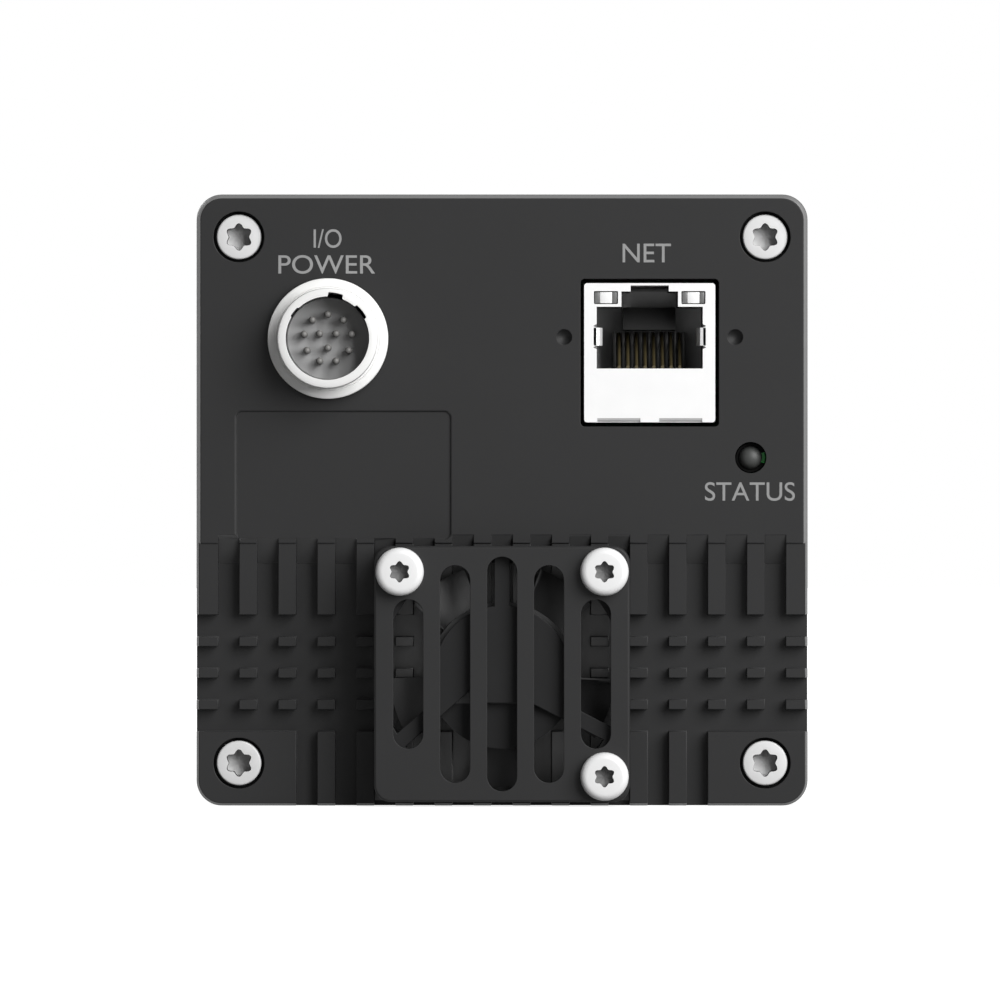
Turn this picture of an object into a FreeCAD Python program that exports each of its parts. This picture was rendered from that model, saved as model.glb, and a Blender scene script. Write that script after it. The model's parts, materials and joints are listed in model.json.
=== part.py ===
"""Machine vision camera with a fan cooled rear cover, in millimetres.

The origin is the centre of the lens mount's flange face, on the optical axis. +Y points out of
the lens mount, +Z is up, and the connector panel faces -Y. A level is a distance behind the
flange face, so a point at level 10 has y = -10. Sketches on the XZ plane look at the camera
from behind, and their pads grow towards the connector panel.
"""

import FreeCAD, Part
import math
import os
import Sketcher
from FreeCAD import Vector

SIZES = {
    # Housing
    "body_width": 72.0,
    "body_height": 72.0,
    "body_corner_radius": 3.0,
    "edge_chamfer": 0.4,
    "panel_chamfer": 0.5,
    "housing_depth": 44.0,
    "side_wall": 4.0,
    "front_wall": 5.0,
    "front_lip": 1.0,
    "lip_width": 1.6,
    "corner_boss": 6.0,
    "corner_screw_inset": 5.0,
    "side_hole_radius": 1.25,
    "side_hole_depth": 6.0,
    "side_hole_spacing": 56.0,
    "side_hole_pitch": 22.0,
    "side_hole_start": 11.0,
    # Lens mount
    "mount_bore_radius": 20.5,
    "mount_wall": 2.7,
    "mount_flange_thickness": 3.0,
    "mount_spigot_length": 3.2,
    "spigot_clearance": 0.05,
    "mount_screw_offset": 1.5,
    "mount_screw_head_radius": 1.9,
    "mount_screw_radius": 1.0,
    "mount_screw_length": 6.5,
    "mount_seal_offset": 2.1,
    "mount_seal_edge": 1.2,
    "mount_seal_radius": 0.5,
    # Sensor
    "flange_focal_distance": 12.0,
    "mask_thickness": 0.8,
    "mask_window": 27.0,
    "package_width": 34.0,
    "package_height": 30.0,
    "package_thickness": 2.5,
    "package_rim": 3.0,
    "package_cavity": 1.5,
    "chip_width": 26.0,
    "chip_height": 22.0,
    "chip_thickness": 0.5,
    "glass_overlap": 1.0,
    "glass_thickness": 0.8,
    # Boards and what joins them
    "board_thickness": 1.6,
    "board_clearance": 1.0,
    "column_inset": 5.5,
    "column_edge": 3.5,
    "column_boss_radius": 3.0,
    "spacer_flats": 5.0,
    "stud_radius": 1.0,
    "thread_clearance": 0.05,
    "hole_clearance": 0.15,
    "front_spacer_length": 10.0,
    "rear_spacer_length": 11.3,
    "stud_length": 4.5,
    "board_screw_head_radius": 1.9,
    "board_screw_head_height": 1.3,
    "board_screw_length": 5.0,
    "thread_runout": 1.0,
    "left_column_inset": 5.0,
    "right_column_inset": 7.5,
    "top_column_x": 4.0,
    "top_column_inset": 5.5,
    "interface_board_gap": 3.0,
    # Parts on the boards
    "processor_width": 24.0,
    "processor_height": 24.0,
    "processor_thickness": 2.5,
    "processor_margin": 3.0,
    "memory_width": 7.0,
    "memory_height": 10.0,
    "memory_thickness": 1.2,
    "memory_pitch": 10.0,
    "memory_gap": 4.0,
    "connector_width": 4.0,
    "connector_length": 24.0,
    "front_connector_inset": 6.0,
    "rear_connector_gap": 2.0,
    "rear_connector_side_gap": 0.4,
    "thermal_pad_thickness": 1.0,
    "pedestal_width": 30.0,
    "pedestal_height": 24.0,
    "coil_width": 6.0,
    "coil_height": 4.0,
    "coil_pitch": 8.0,
    "coil_rise": 5.0,
    "coil_side_gap": 0.55,
    "capacitor_radius": 2.5,
    "capacitor_height": 6.0,
    "capacitor_spacing": 6.0,
    "capacitor_rise": 14.0,
    "transformer_width": 10.0,
    "transformer_height": 10.0,
    "transformer_thickness": 5.0,
    # Rear cover
    "gasket_thickness": 0.4,
    "gasket_inset": 0.7,
    "cover_thickness": 7.0,
    "cover_screw_radius": 1.45,
    "cover_screw_head_radius": 2.58,
    "cover_screw_head_height": 2.4,
    "cover_screw_reach": 8.0,
    "counterbore_radius": 3.0,
    "counterbore_depth": 2.9,
    "fin_recess": 0.2,
    "fin_height": 2.0,
    "fin_zone_lead": 0.3,
    "fin_pitch": 4.6,
    "fin_gap": 2.5,
    "groove_lead": 1.0,
    "groove_runout_radius": 3.7,
    "middle_grooves": 11,
    "side_grooves": 2,
    "cross_cuts": 4,
    "cross_cut_rise": 10.04,
    "cross_cut_pitch": 3.72,
    "cross_cut_width": 2.6,
    "label_width": 25.2,
    "label_height": 15.0,
    "label_radius": 0.7,
    "label_inset": 4.7,
    "label_lead": 0.5,
    "label_depth": 0.25,
    # Signal and power receptacle
    "io_side_inset": 15.5,
    "io_top_inset": 17.0,
    "io_flange_radius": 7.1,
    "io_flange_thickness": 1.2,
    "io_barrel_radius": 5.9,
    "io_barrel_height": 5.5,
    "io_bore_radius": 4.9,
    "io_thread_radius": 5.6,
    "io_rear_length": 4.0,
    "io_panel_clearance": 0.1,
    "io_insert_face": 0.5,
    "io_insert_clearance": 0.05,
    "io_insert_rear": 1.5,
    "io_key_width": 1.7,
    "io_key_depth": 0.5,
    "io_pin_radius": 0.42,
    "io_pin_clearance": 0.03,
    "io_pin_circle": 2.83,
    "io_inner_pin_circle": 1.12,
    "io_pin_reach": 3.2,
    "io_seal_thickness": 0.3,
    "io_seal_inset": 0.4,
    "io_nut_flats": 13.5,
    "io_nut_thickness": 2.5,
    # Network jack
    "net_side_inset": 18.6,
    "net_top_inset": 18.65,
    "net_cutout_width": 16.3,
    "net_cutout_height": 17.4,
    "net_cutout_radius": 0.5,
    "net_shield_width": 15.7,
    "net_shield_height": 16.4,
    "net_recess": 0.2,
    "net_wall": 0.3,
    "net_insert_gap": 0.05,
    "net_port_width": 12.5,
    "net_port_height": 7.28,
    "net_port_rise": 1.78,
    "net_port_depth": 12.0,
    "net_latch_width": 6.67,
    "net_latch_height": 1.8,
    "net_catch_width": 4.5,
    "net_catch_height": 0.72,
    "net_light_width": 2.83,
    "net_light_height": 1.53,
    "net_light_spacing": 10.3,
    "net_light_rise": 6.5,
    "net_light_length": 9.0,
    "net_contacts": 8,
    "net_contact_pitch": 1.02,
    "net_contact_width": 0.45,
    "net_contact_thickness": 0.3,
    "net_contact_start": 1.5,
    "net_contact_run": 7.5,
    "net_contact_rise": 4.4,
    "net_lock_spacing": 20.15,
    "net_lock_radius": 0.9,
    "net_lock_depth": 5.0,
    "net_lock_rise": 1.85,
    # Status light
    "status_side_inset": 6.7,
    "status_rise": 7.0,
    "status_hole_radius": 1.85,
    "status_pipe_radius": 1.8,
    "status_dome_radius": 1.45,
    "status_dome_height": 1.1,
    "status_recess": 0.3,
    "status_chip_width": 1.6,
    "status_chip_thickness": 0.8,
    # Fan
    "fan_width": 30.0,
    "fan_margin": 0.6,
    "fan_depth": 7.0,
    "fan_corner_radius": 2.0,
    "fan_hole_inset": 3.0,
    "fan_hole_radius": 1.6,
    "fan_duct_wall": 0.8,
    "hub_radius": 8.0,
    "hub_flat": 3.4,
    "hub_thickness": 1.2,
    "strut_width": 1.8,
    "side_strut_shift": 0.6,
    "lead_strut_shift": 1.9,
    "lead_notch_start": 3.0,
    "lead_notch_width": 2.7,
    "bearing_housing_radius": 2.4,
    "bearing_radius": 1.7,
    "bearing_length": 3.4,
    "shaft_radius": 0.75,
    "shaft_running_gap": 0.03,
    "shaft_end_gap": 0.3,
    "rotor_floor_gap": 0.6,
    "rotor_floor": 0.8,
    "rotor_radius": 8.6,
    "rotor_height": 4.6,
    "rotor_boss_radius": 1.6,
    "rotor_boss_height": 0.7,
    "blades": 5,
    "blade_thickness": 0.5,
    "blade_margin": 0.25,
    "blade_root_depth": 0.7,
    "blade_root_spread": 2.2,
    "blade_tip_spread": 3.7,
    "blade_tip_gap": 0.9,
    "magnet_thickness": 0.8,
    "magnet_gap": 0.25,
    "core_shoe": 0.8,
    "core_arm": 1.2,
    "core_thickness": 1.5,
    "core_hub_wall": 0.7,
    "core_lift": 1.6,
    "coil_wall": 0.5,
    "coil_air": 0.1,
    "fan_board_thickness": 0.4,
    # Fan guard
    "guard_thickness": 1.5,
    "slot_width": 3.5,
    "slot_pitch": 5.5,
    "middle_slot_inset": 1.25,
    "second_slot_inset": 2.25,
    "outer_slot_inset": 6.25,
    "fan_screw_radius": 1.45,
    "fan_screw_head_radius": 2.83,
    "fan_screw_head_height": 2.0,
    "fan_screw_crown": 0.8,
    "fan_screw_reach": 3.2,
    "fan_boss_radius": 2.8,
    # Screw recesses
    "recess_radius": 1.6,
    "small_recess_radius": 1.3,
    "recess_depth": 1.3,
    "board_recess_radius": 0.9,
    "board_recess_depth": 0.7,
}

# Directions in degrees, anticlockwise from +X when the panel is seen from behind the camera
IO_OUTER_PIN_ANGLES = (90, 50, 10, -30, -70, -110, -150, 170, 130)
IO_INNER_PIN_ANGLES = (30, 150, -90)
IO_KEY_ANGLES = (80, 38, 142)
TOP_STRUT_ANGLE = 90
SIDE_STRUT_ANGLE = -27
LEAD_STRUT_ANGLE = 221
FIRST_BLADE_ANGLE = -18
FIRST_MOUNT_SCREW_ANGLE = 45
DOME_ANGLES = (0, 30, 60)
# Counts and shares that fix a form whatever its size
MOUNT_SCREWS = 4
STATOR_ARMS = 4
STAR_ROOT_SHARE = 0.72
BLADE_CAMBER_SHARE = 0.25
DIAGONAL = math.sqrt(0.5)
CORNERS = ((-1, -1), (1, -1), (1, 1), (-1, 1))

doc = FreeCAD.newDocument("VisionCamera")
sheet = doc.addObject("Spreadsheet::Sheet", "Sizes")
for row, (alias, number) in enumerate(SIZES.items(), start=1):
    sheet.set(f"A{row}", alias)
    sheet.set(f"B{row}", str(number))
    sheet.setAlias(f"B{row}", alias)
doc.recompute()


class Size:
    """A number together with the sheet expression that gives it."""

    def __init__(self, value, text):
        self.value = value
        self.text = text

    def __add__(self, other):
        other = as_size(other)
        return Size(self.value + other.value, f"({self.text} + {other.text})")

    def __sub__(self, other):
        other = as_size(other)
        return Size(self.value - other.value, f"({self.text} - {other.text})")

    def __mul__(self, other):
        other = as_size(other)
        return Size(self.value * other.value, f"({self.text} * {other.text})")

    def __truediv__(self, other):
        other = as_size(other)
        return Size(self.value / other.value, f"({self.text} / {other.text})")

    def __neg__(self):
        return Size(-self.value, f"(0 - {self.text})")

    __radd__ = __add__
    __rmul__ = __mul__


def as_size(amount):
    """A plain number or a Size, as a Size."""
    if isinstance(amount, Size):
        return amount
    return Size(float(amount), f"({float(amount):.12g})")


def root(amount):
    """The square root of a Size."""
    return Size(math.sqrt(amount.value), f"sqrt({amount.text})")


class Cells:
    """The sheet's cells as attributes, each one a Size."""


cell = Cells()
for alias, number in SIZES.items():
    setattr(cell, alias, Size(float(number), f"Sizes.{alias}"))

pieces = []


def tie(thing, path, amount):
    """Bind one property of a document object to the sheet."""
    thing.setExpression(path, as_size(amount).text)


def new_body(label, x=0, level=0, z=0):
    """An empty body, whose own origin lies at x, z and the level."""
    body = doc.addObject("PartDesign::Body", label)
    body.Label = label
    body.AllowCompound = True
    tie(body, "Placement.Base.x", x)
    tie(body, "Placement.Base.y", -as_size(level))
    tie(body, "Placement.Base.z", z)
    pieces.append(body)
    return body


def sketch(body, level=0, plane="XZ_Plane"):
    """A sketch on one of the body's own origin planes, moved along the plane's normal."""
    drawing = body.newObject("Sketcher::SketchObject", "Sketch")
    support = next(o for o in body.Origin.OriginFeatures if o.Role == plane)
    drawing.AttachmentSupport = (support, [""])
    drawing.MapMode = "FlatFace"
    tie(drawing, ".AttachmentOffset.Base.z", level)
    return drawing


def dimension(drawing, constraint, amount):
    """Add a dimension and bind it to the sheet."""
    index = drawing.addConstraint(constraint)
    tie(drawing, f"Constraints[{index}]", amount)


def place(drawing, geometry, point, x, z):
    """Dimension a point of the geometry from the sketch's origin."""
    x, z = as_size(x), as_size(z)
    dimension(drawing, Sketcher.Constraint("DistanceX", -1, 1, geometry, point, x.value), x)
    dimension(drawing, Sketcher.Constraint("DistanceY", -1, 1, geometry, point, z.value), z)


def circle(drawing, radius, x=0, z=0):
    """A circle centred at x, z."""
    radius, x, z = as_size(radius), as_size(x), as_size(z)
    shape = Part.Circle(Vector(x.value, z.value, 0), Vector(0, 0, 1), radius.value)
    ring = drawing.addGeometry(shape, False)
    dimension(drawing, Sketcher.Constraint("Radius", ring, radius.value), radius)
    place(drawing, ring, 3, x, z)


def polygon(drawing, corners):
    """A closed outline of straight lines through the corners, each one dimensioned."""
    corners = [(as_size(x), as_size(z)) for x, z in corners]
    points = [Vector(x.value, z.value, 0) for x, z in corners]
    count = len(points)
    lines = [
        drawing.addGeometry(Part.LineSegment(points[i], points[(i + 1) % count]), False)
        for i in range(count)
    ]
    for i in range(count):
        drawing.addConstraint(Sketcher.Constraint("Coincident", lines[i], 2, lines[(i + 1) % count], 1))
        place(drawing, lines[i], 1, *corners[i])


def rectangle(drawing, width, height, x=0, z=0):
    """A rectangle centred at x, z."""
    half_width, half_height = as_size(width) / 2, as_size(height) / 2
    x, z = as_size(x), as_size(z)
    polygon(drawing, [(x + half_width * i, z + half_height * k) for i, k in CORNERS])


def rounded_rectangle(drawing, width, height, radius, x=0, z=0):
    """A rectangle centred at x, z with its four corners rounded."""
    half_width, half_height = as_size(width) / 2, as_size(height) / 2
    radius, x, z = as_size(radius), as_size(x), as_size(z)
    left, right = x - half_width, x + half_width
    low, high = z - half_height, z + half_height
    r = radius.value
    starts = [(left.value + r, low.value), (right.value, low.value + r)]
    starts += [(right.value - r, high.value), (left.value, high.value - r)]
    ends = [(right.value - r, low.value), (right.value, high.value - r)]
    ends += [(left.value + r, high.value), (left.value, low.value + r)]
    centres = [(right.value - r, low.value + r), (right.value - r, high.value - r)]
    centres += [(left.value + r, high.value - r), (left.value + r, low.value + r)]
    sides, arcs = [], []
    for i in range(4):
        line = Part.LineSegment(Vector(*starts[i], 0), Vector(*ends[i], 0))
        ring = Part.Circle(Vector(*centres[i], 0), Vector(0, 0, 1), r)
        turn = math.radians(270 + 90 * i)
        sides.append(drawing.addGeometry(line, False))
        arcs.append(drawing.addGeometry(Part.ArcOfCircle(ring, turn, turn + math.pi / 2), False))
    for i in range(4):
        drawing.addConstraint(Sketcher.Constraint("Tangent", sides[i], 2, arcs[i], 1))
        drawing.addConstraint(Sketcher.Constraint("Tangent", arcs[i], 2, sides[(i + 1) % 4], 1))
        drawing.addConstraint(Sketcher.Constraint(("Horizontal", "Vertical")[i % 2], sides[i]))
    for arc in arcs[1:]:
        drawing.addConstraint(Sketcher.Constraint("Equal", arcs[0], arc))
    dimension(drawing, Sketcher.Constraint("Radius", arcs[0], r), radius)
    for side, level in ((0, low), (2, high)):
        distance = Sketcher.Constraint("DistanceY", -1, 1, sides[side], 1, level.value)
        dimension(drawing, distance, level)
    for side, level in ((1, right), (3, left)):
        distance = Sketcher.Constraint("DistanceX", -1, 1, sides[side], 1, level.value)
        dimension(drawing, distance, level)


def upright_slot(drawing, width, length, x=0, z=0):
    """A slot with full round ends, standing upright and centred at x, z."""
    radius, x, z = as_size(width) / 2, as_size(x), as_size(z)
    reach = as_size(length) / 2 - radius
    r = radius.value
    arcs, sides = [], []
    for sign, start in ((1, 0), (-1, math.pi)):
        ring = Part.Circle(Vector(x.value, z.value + sign * reach.value, 0), Vector(0, 0, 1), r)
        arcs.append(drawing.addGeometry(Part.ArcOfCircle(ring, start, start + math.pi), False))
    for sign in (-1, 1):
        first = Vector(x.value + sign * r, z.value - sign * reach.value, 0)
        last = Vector(x.value + sign * r, z.value + sign * reach.value, 0)
        sides.append(drawing.addGeometry(Part.LineSegment(first, last), False))
    for arc, after, before in ((arcs[0], sides[0], sides[1]), (arcs[1], sides[1], sides[0])):
        drawing.addConstraint(Sketcher.Constraint("Tangent", arc, 2, after, 1))
        drawing.addConstraint(Sketcher.Constraint("Tangent", before, 2, arc, 1))
    for side in sides:
        drawing.addConstraint(Sketcher.Constraint("Vertical", side))
    dimension(drawing, Sketcher.Constraint("Radius", arcs[0], r), radius)
    place(drawing, arcs[0], 3, x, z + reach)
    low = z - reach
    dimension(drawing, Sketcher.Constraint("DistanceY", -1, 1, arcs[1], 3, low.value), low)


def ring_points(radius, count, x=0, z=0, start=0.0):
    """Points spaced evenly on a circle."""
    turns = [math.radians(start + 360 * i / count) for i in range(count)]
    return [(as_size(x) + radius * math.cos(a), as_size(z) + radius * math.sin(a)) for a in turns]


def star(drawing, radius, x=0, z=0):
    """A six pointed screw recess."""
    tips = ring_points(radius, 6, x, z, 90)
    roots = ring_points(radius * STAR_ROOT_SHARE, 6, x, z, 120)
    polygon(drawing, [point for pair in zip(tips, roots) for point in pair])


def pad(body, drawing, length, inward=False):
    """Grow the drawing towards the panel, or away from it."""
    feature = body.newObject("PartDesign::Pad", "Pad")
    feature.Profile = drawing
    tie(feature, "Length", length)
    feature.Reversed = inward
    return feature


def pocket(body, drawing, depth, inward=False, both_ways=False):
    """Cut the drawing out of the body, away from the panel unless inward is set."""
    feature = body.newObject("PartDesign::Pocket", "Pocket")
    feature.Profile = drawing
    tie(feature, "Length", depth)
    feature.Reversed = inward
    feature.Midplane = both_ways
    return feature


def turned(body, profile):
    """Revolve a profile of level and radius pairs about the body's own Y axis."""
    drawing = sketch(body, plane="YZ_Plane")
    polygon(drawing, [(-as_size(level), radius) for level, radius in profile])
    feature = body.newObject("PartDesign::Revolution", "Revolution")
    feature.Profile = drawing
    feature.ReferenceAxis = (drawing, ["H_Axis"])
    feature.Angle = 360
    return feature


def row_of(body, feature, drawing, axis, pitch, count):
    """Repeat a feature along an axis of its own drawing."""
    pattern = body.newObject("PartDesign::LinearPattern", "LinearPattern")
    pattern.Originals = [feature]
    pattern.Direction = (drawing, [axis])
    tie(pattern, "Occurrences", count)
    tie(pattern, "Length", as_size(pitch) * (as_size(count) - 1))
    body.Tip = pattern
    return pattern


def ring_of(body, feature, count):
    """Repeat a feature round the body's own Y axis."""
    pattern = body.newObject("PartDesign::PolarPattern", "PolarPattern")
    pattern.Originals = [feature]
    axis = next(o for o in body.Origin.OriginFeatures if o.Role == "Y_Axis")
    pattern.Axis = (axis, [""])
    pattern.Angle = 360
    tie(pattern, "Occurrences", count)
    body.Tip = pattern
    return pattern


def dress(body, kind, feature, amount, wanted):
    """Fillet or chamfer the feature's edges that the test picks out."""
    doc.recompute()
    names = [f"Edge{i}" for i, edge in enumerate(feature.Shape.Edges, start=1) if wanted(edge)]
    finish = body.newObject(f"PartDesign::{kind}", kind)
    finish.Base = (feature, names)
    tie(finish, "Radius" if kind == "Fillet" else "Size", amount)
    return finish


def plate(label, width, height, thickness, x=0, level=0, z=0):
    """A plain rectangular body."""
    body = new_body(label, x, level, z)
    drawing = sketch(body)
    rectangle(drawing, width, height)
    pad(body, drawing, thickness)
    return body


def blocks(label, level, width, height, thickness, places):
    """Like rectangular solids at several places, in one body."""
    body = new_body(label, level=level)
    drawing = sketch(body)
    for x, z in places:
        rectangle(drawing, width, height, x, z)
    pad(body, drawing, thickness)
    return body


# Levels behind the flange face, from the lens mount to the fan guard
front_face = cell.mount_flange_thickness
cavity_front = front_face + cell.front_wall
housing_rear = front_face + cell.housing_depth
cover_front = housing_rear + cell.gasket_thickness
panel = cover_front + cell.cover_thickness
fin_top = panel - cell.fin_recess
guard_front = fin_top + cell.fan_depth
package_front = cell.flange_focal_distance - cell.package_cavity + cell.chip_thickness
sensor_board_front = package_front + cell.package_thickness
sensor_board_rear = sensor_board_front + cell.board_thickness
processor_board_front = sensor_board_rear + cell.front_spacer_length
processor_board_rear = processor_board_front + cell.board_thickness
interface_board_front = processor_board_rear + cell.rear_spacer_length
interface_board_rear = interface_board_front + cell.board_thickness
net_front = panel - cell.net_recess

# Radii of the lens mount, from its bore outwards
mount_spigot_radius = cell.mount_bore_radius + cell.mount_wall
mount_screw_circle = mount_spigot_radius + cell.mount_screw_offset
mount_seal_circle = mount_screw_circle + cell.mount_seal_offset
mount_flange_radius = mount_seal_circle + cell.mount_seal_edge

# Places that several pieces share
half_width = cell.body_width / 2
half_height = cell.body_height / 2
screw_x = half_width - cell.corner_screw_inset
screw_z = half_height - cell.corner_screw_inset
corner_screws = [(screw_x * i, screw_z * k) for i, k in CORNERS]
cavity_width = cell.body_width - cell.side_wall * 2
cavity_height = cell.body_height - cell.side_wall * 2
arm_width = cavity_width - cell.corner_boss * 2
arm_height = cavity_height - cell.corner_boss * 2
column_x = arm_width / 2 - cell.column_inset
column_z = arm_height / 2 - cell.column_inset
columns = [(column_x * i, column_z * k) for i, k in CORNERS]
mount_screws = ring_points(mount_screw_circle, MOUNT_SCREWS, start=FIRST_MOUNT_SCREW_ANGLE)
sensor_board_width = (column_x + cell.column_edge) * 2
sensor_board_height = (column_z + cell.column_edge) * 2
processor_z = cell.processor_margin + cell.processor_height / 2 - cavity_height / 2
interface_board_low = processor_z + cell.pedestal_height / 2 + cell.interface_board_gap
side_column_z = interface_board_low + cell.column_edge
rear_columns = [
    (cell.left_column_inset - cavity_width / 2, side_column_z),
    (cavity_width / 2 - cell.right_column_inset, side_column_z),
    (-cell.top_column_x, cavity_height / 2 - cell.top_column_inset),
]
memory_z = processor_z + (cell.processor_height + cell.memory_height) / 2 + cell.memory_gap
rear_connector_z = memory_z + (cell.memory_height + cell.connector_width) / 2 + cell.rear_connector_gap
board_width = cavity_width - cell.board_clearance * 2
board_height = cavity_height - cell.board_clearance * 2
board_arm_width = arm_width - cell.board_clearance * 2
board_arm_height = arm_height - cell.board_clearance * 2
own_thread_hole = cell.cover_screw_radius + cell.thread_clearance
stud_hole = cell.stud_radius + cell.thread_clearance
board_hole = cell.stud_radius + cell.hole_clearance
fan_hole = cell.fan_width / 2 - cell.fan_hole_inset
fan_duct_radius = cell.fan_width / 2 - cell.fan_duct_wall
fan_places = [(fan_hole * i, fan_hole * k) for i, k in CORNERS]
guard_screws = fan_places[1:]
io_x, io_z = cell.io_side_inset - half_width, half_height - cell.io_top_inset
net_x, net_z = half_width - cell.net_side_inset, half_height - cell.net_top_inset
status_x, status_z = half_width - cell.status_side_inset, interface_board_low + cell.status_rise
rear_connector_x = (net_x - (cell.transformer_width + cell.connector_length) / 2
                    - cell.rear_connector_side_gap)
fan_z = cell.fan_width / 2 + cell.fan_margin - half_height
fin_zone_top = fan_z + cell.fan_width / 2 + cell.fin_zone_lead
label_x = cell.label_inset + cell.label_width / 2 - half_width
label_z = fin_zone_top + cell.label_lead + cell.label_height / 2
spacer_circle = cell.spacer_flats / math.sqrt(3)


def make_housing():
    """The deep front shell, open at the rear, with its four corner bosses."""
    body = new_body("housing", level=front_face)
    outline = sketch(body)
    rounded_rectangle(outline, cell.body_width, cell.body_height, cell.body_corner_radius)
    shell = pad(body, outline, cell.housing_depth)
    front_edges = dress(body, "Chamfer", shell, cell.edge_chamfer,
                        lambda edge: all(abs(v.Y) < 1e-6 for v in edge.Vertexes))
    body.Tip = front_edges
    for width, height in ((cavity_width, arm_height), (arm_width, cavity_height)):
        cavity = sketch(body, cell.housing_depth)
        rectangle(cavity, width, height)
        pocket(body, cavity, cell.housing_depth - cell.front_wall)
    bore = sketch(body)
    circle(bore, mount_spigot_radius + cell.spigot_clearance)
    pocket(body, bore, cell.front_wall - cell.front_lip, inward=True)
    lip = sketch(body)
    circle(lip, mount_spigot_radius - cell.lip_width)
    pocket(body, lip, cell.front_wall, inward=True)
    posts = sketch(body, cell.front_wall)
    for x, z in columns:
        circle(posts, cell.column_boss_radius, x, z)
    post_length = sensor_board_front - cavity_front
    pad(body, posts, post_length)
    post_holes = sketch(body, cell.front_wall + post_length)
    for x, z in columns:
        circle(post_holes, stud_hole, x, z)
    pocket(body, post_holes, cell.stud_length)
    threads = sketch(body, cell.housing_depth)
    for x, z in corner_screws:
        circle(threads, own_thread_hole, x, z)
    pocket(body, threads, cell.cover_screw_reach + cell.thread_runout)
    mount_threads = sketch(body)
    for x, z in mount_screws:
        circle(mount_threads, stud_hole, x, z)
    pocket(body, mount_threads, cell.mount_screw_length, inward=True)
    front_threads = sketch(body)
    for x, z in corner_screws:
        circle(front_threads, cell.side_hole_radius, x, z)
    pocket(body, front_threads, cell.side_hole_depth, inward=True)
    half_spacing = cell.side_hole_spacing / 2
    rows = (cell.side_hole_start, cell.side_hole_start + cell.side_hole_pitch)
    for plane, reach in (("XY_Plane", half_height), ("YZ_Plane", half_width)):
        for side in (-1, 1):
            holes = sketch(body, reach * side, plane)
            for sign in (-1, 1):
                for level in rows:
                    across, along = half_spacing * sign, -level
                    x, z = (across, along) if plane == "XY_Plane" else (along, across)
                    circle(holes, cell.side_hole_radius, x, z)
            pocket(body, holes, cell.side_hole_depth, inward=side < 0)


def make_lens_mount():
    """The threaded mount ring, its seal and its four countersunk screws."""
    body = new_body("lens_mount")
    groove_in = mount_seal_circle - cell.mount_seal_radius
    groove_out = mount_seal_circle + cell.mount_seal_radius
    groove_depth = front_face - cell.mount_seal_radius * 2
    turned(body, [
        (0, cell.mount_bore_radius),
        (0, mount_flange_radius - cell.edge_chamfer),
        (cell.edge_chamfer, mount_flange_radius),
        (front_face, mount_flange_radius),
        (front_face, groove_out),
        (groove_depth, groove_out),
        (groove_depth, groove_in),
        (front_face, groove_in),
        (front_face, mount_spigot_radius),
        (front_face + cell.mount_spigot_length, mount_spigot_radius),
        (front_face + cell.mount_spigot_length, cell.mount_bore_radius),
    ])
    heads = sketch(body)
    for x, z in mount_screws:
        circle(heads, cell.mount_screw_head_radius + cell.thread_clearance, x, z)
    pocket(body, heads, cell.board_screw_head_height, inward=True)
    shanks = sketch(body)
    for x, z in mount_screws:
        circle(shanks, cell.mount_screw_radius + cell.hole_clearance, x, z)
    pocket(body, shanks, front_face, inward=True)

    screws = new_body("lens_mount_screws", level=cell.thread_clearance)
    heads = sketch(screws)
    shanks = sketch(screws)
    recesses = sketch(screws)
    for x, z in mount_screws:
        circle(heads, cell.mount_screw_head_radius, x, z)
        circle(shanks, cell.mount_screw_radius, x, z)
        star(recesses, cell.board_recess_radius, x, z)
    pad(screws, heads, cell.board_screw_head_height - cell.thread_clearance)
    pad(screws, shanks, cell.mount_screw_length)
    pocket(screws, recesses, cell.board_recess_depth, inward=True)

    seal = doc.addObject("Part::Torus", "lens_mount_seal")
    seal.Label = "lens_mount_seal"
    tie(seal, "Radius1", mount_seal_circle)
    tie(seal, "Radius2", cell.mount_seal_radius - cell.thread_clearance / 2)
    seal.Placement.Rotation = FreeCAD.Rotation(Vector(1, 0, 0), 90)
    tie(seal, "Placement.Base.y", -(front_face - cell.mount_seal_radius))
    pieces.append(seal)


def make_sensor():
    """The light mask, the sensor in its ceramic package and its cover glass."""
    mask = new_body("sensor_mask", level=front_face + cell.mount_spigot_length)
    drawing = sketch(mask)
    circle(drawing, mount_spigot_radius)
    rectangle(drawing, cell.mask_window, cell.mask_window)
    pad(mask, drawing, cell.mask_thickness)

    package = plate("sensor_package", cell.package_width, cell.package_height,
                    cell.package_thickness, level=package_front)
    well = sketch(package)
    well_width = cell.package_width - cell.package_rim * 2
    well_height = cell.package_height - cell.package_rim * 2
    rectangle(well, well_width, well_height)
    pocket(package, well, cell.package_cavity, inward=True)
    plate("sensor_chip", cell.chip_width, cell.chip_height, cell.chip_thickness,
          level=cell.flange_focal_distance)
    plate("sensor_glass", well_width + cell.glass_overlap * 2, well_height + cell.glass_overlap * 2,
          cell.glass_thickness, level=package_front - cell.glass_thickness)


def drill_board(body, places):
    """Screw holes through a board."""
    holes = sketch(body, cell.board_thickness)
    for x, z in places:
        circle(holes, board_hole, x, z)
    pocket(body, holes, cell.board_thickness)


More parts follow.
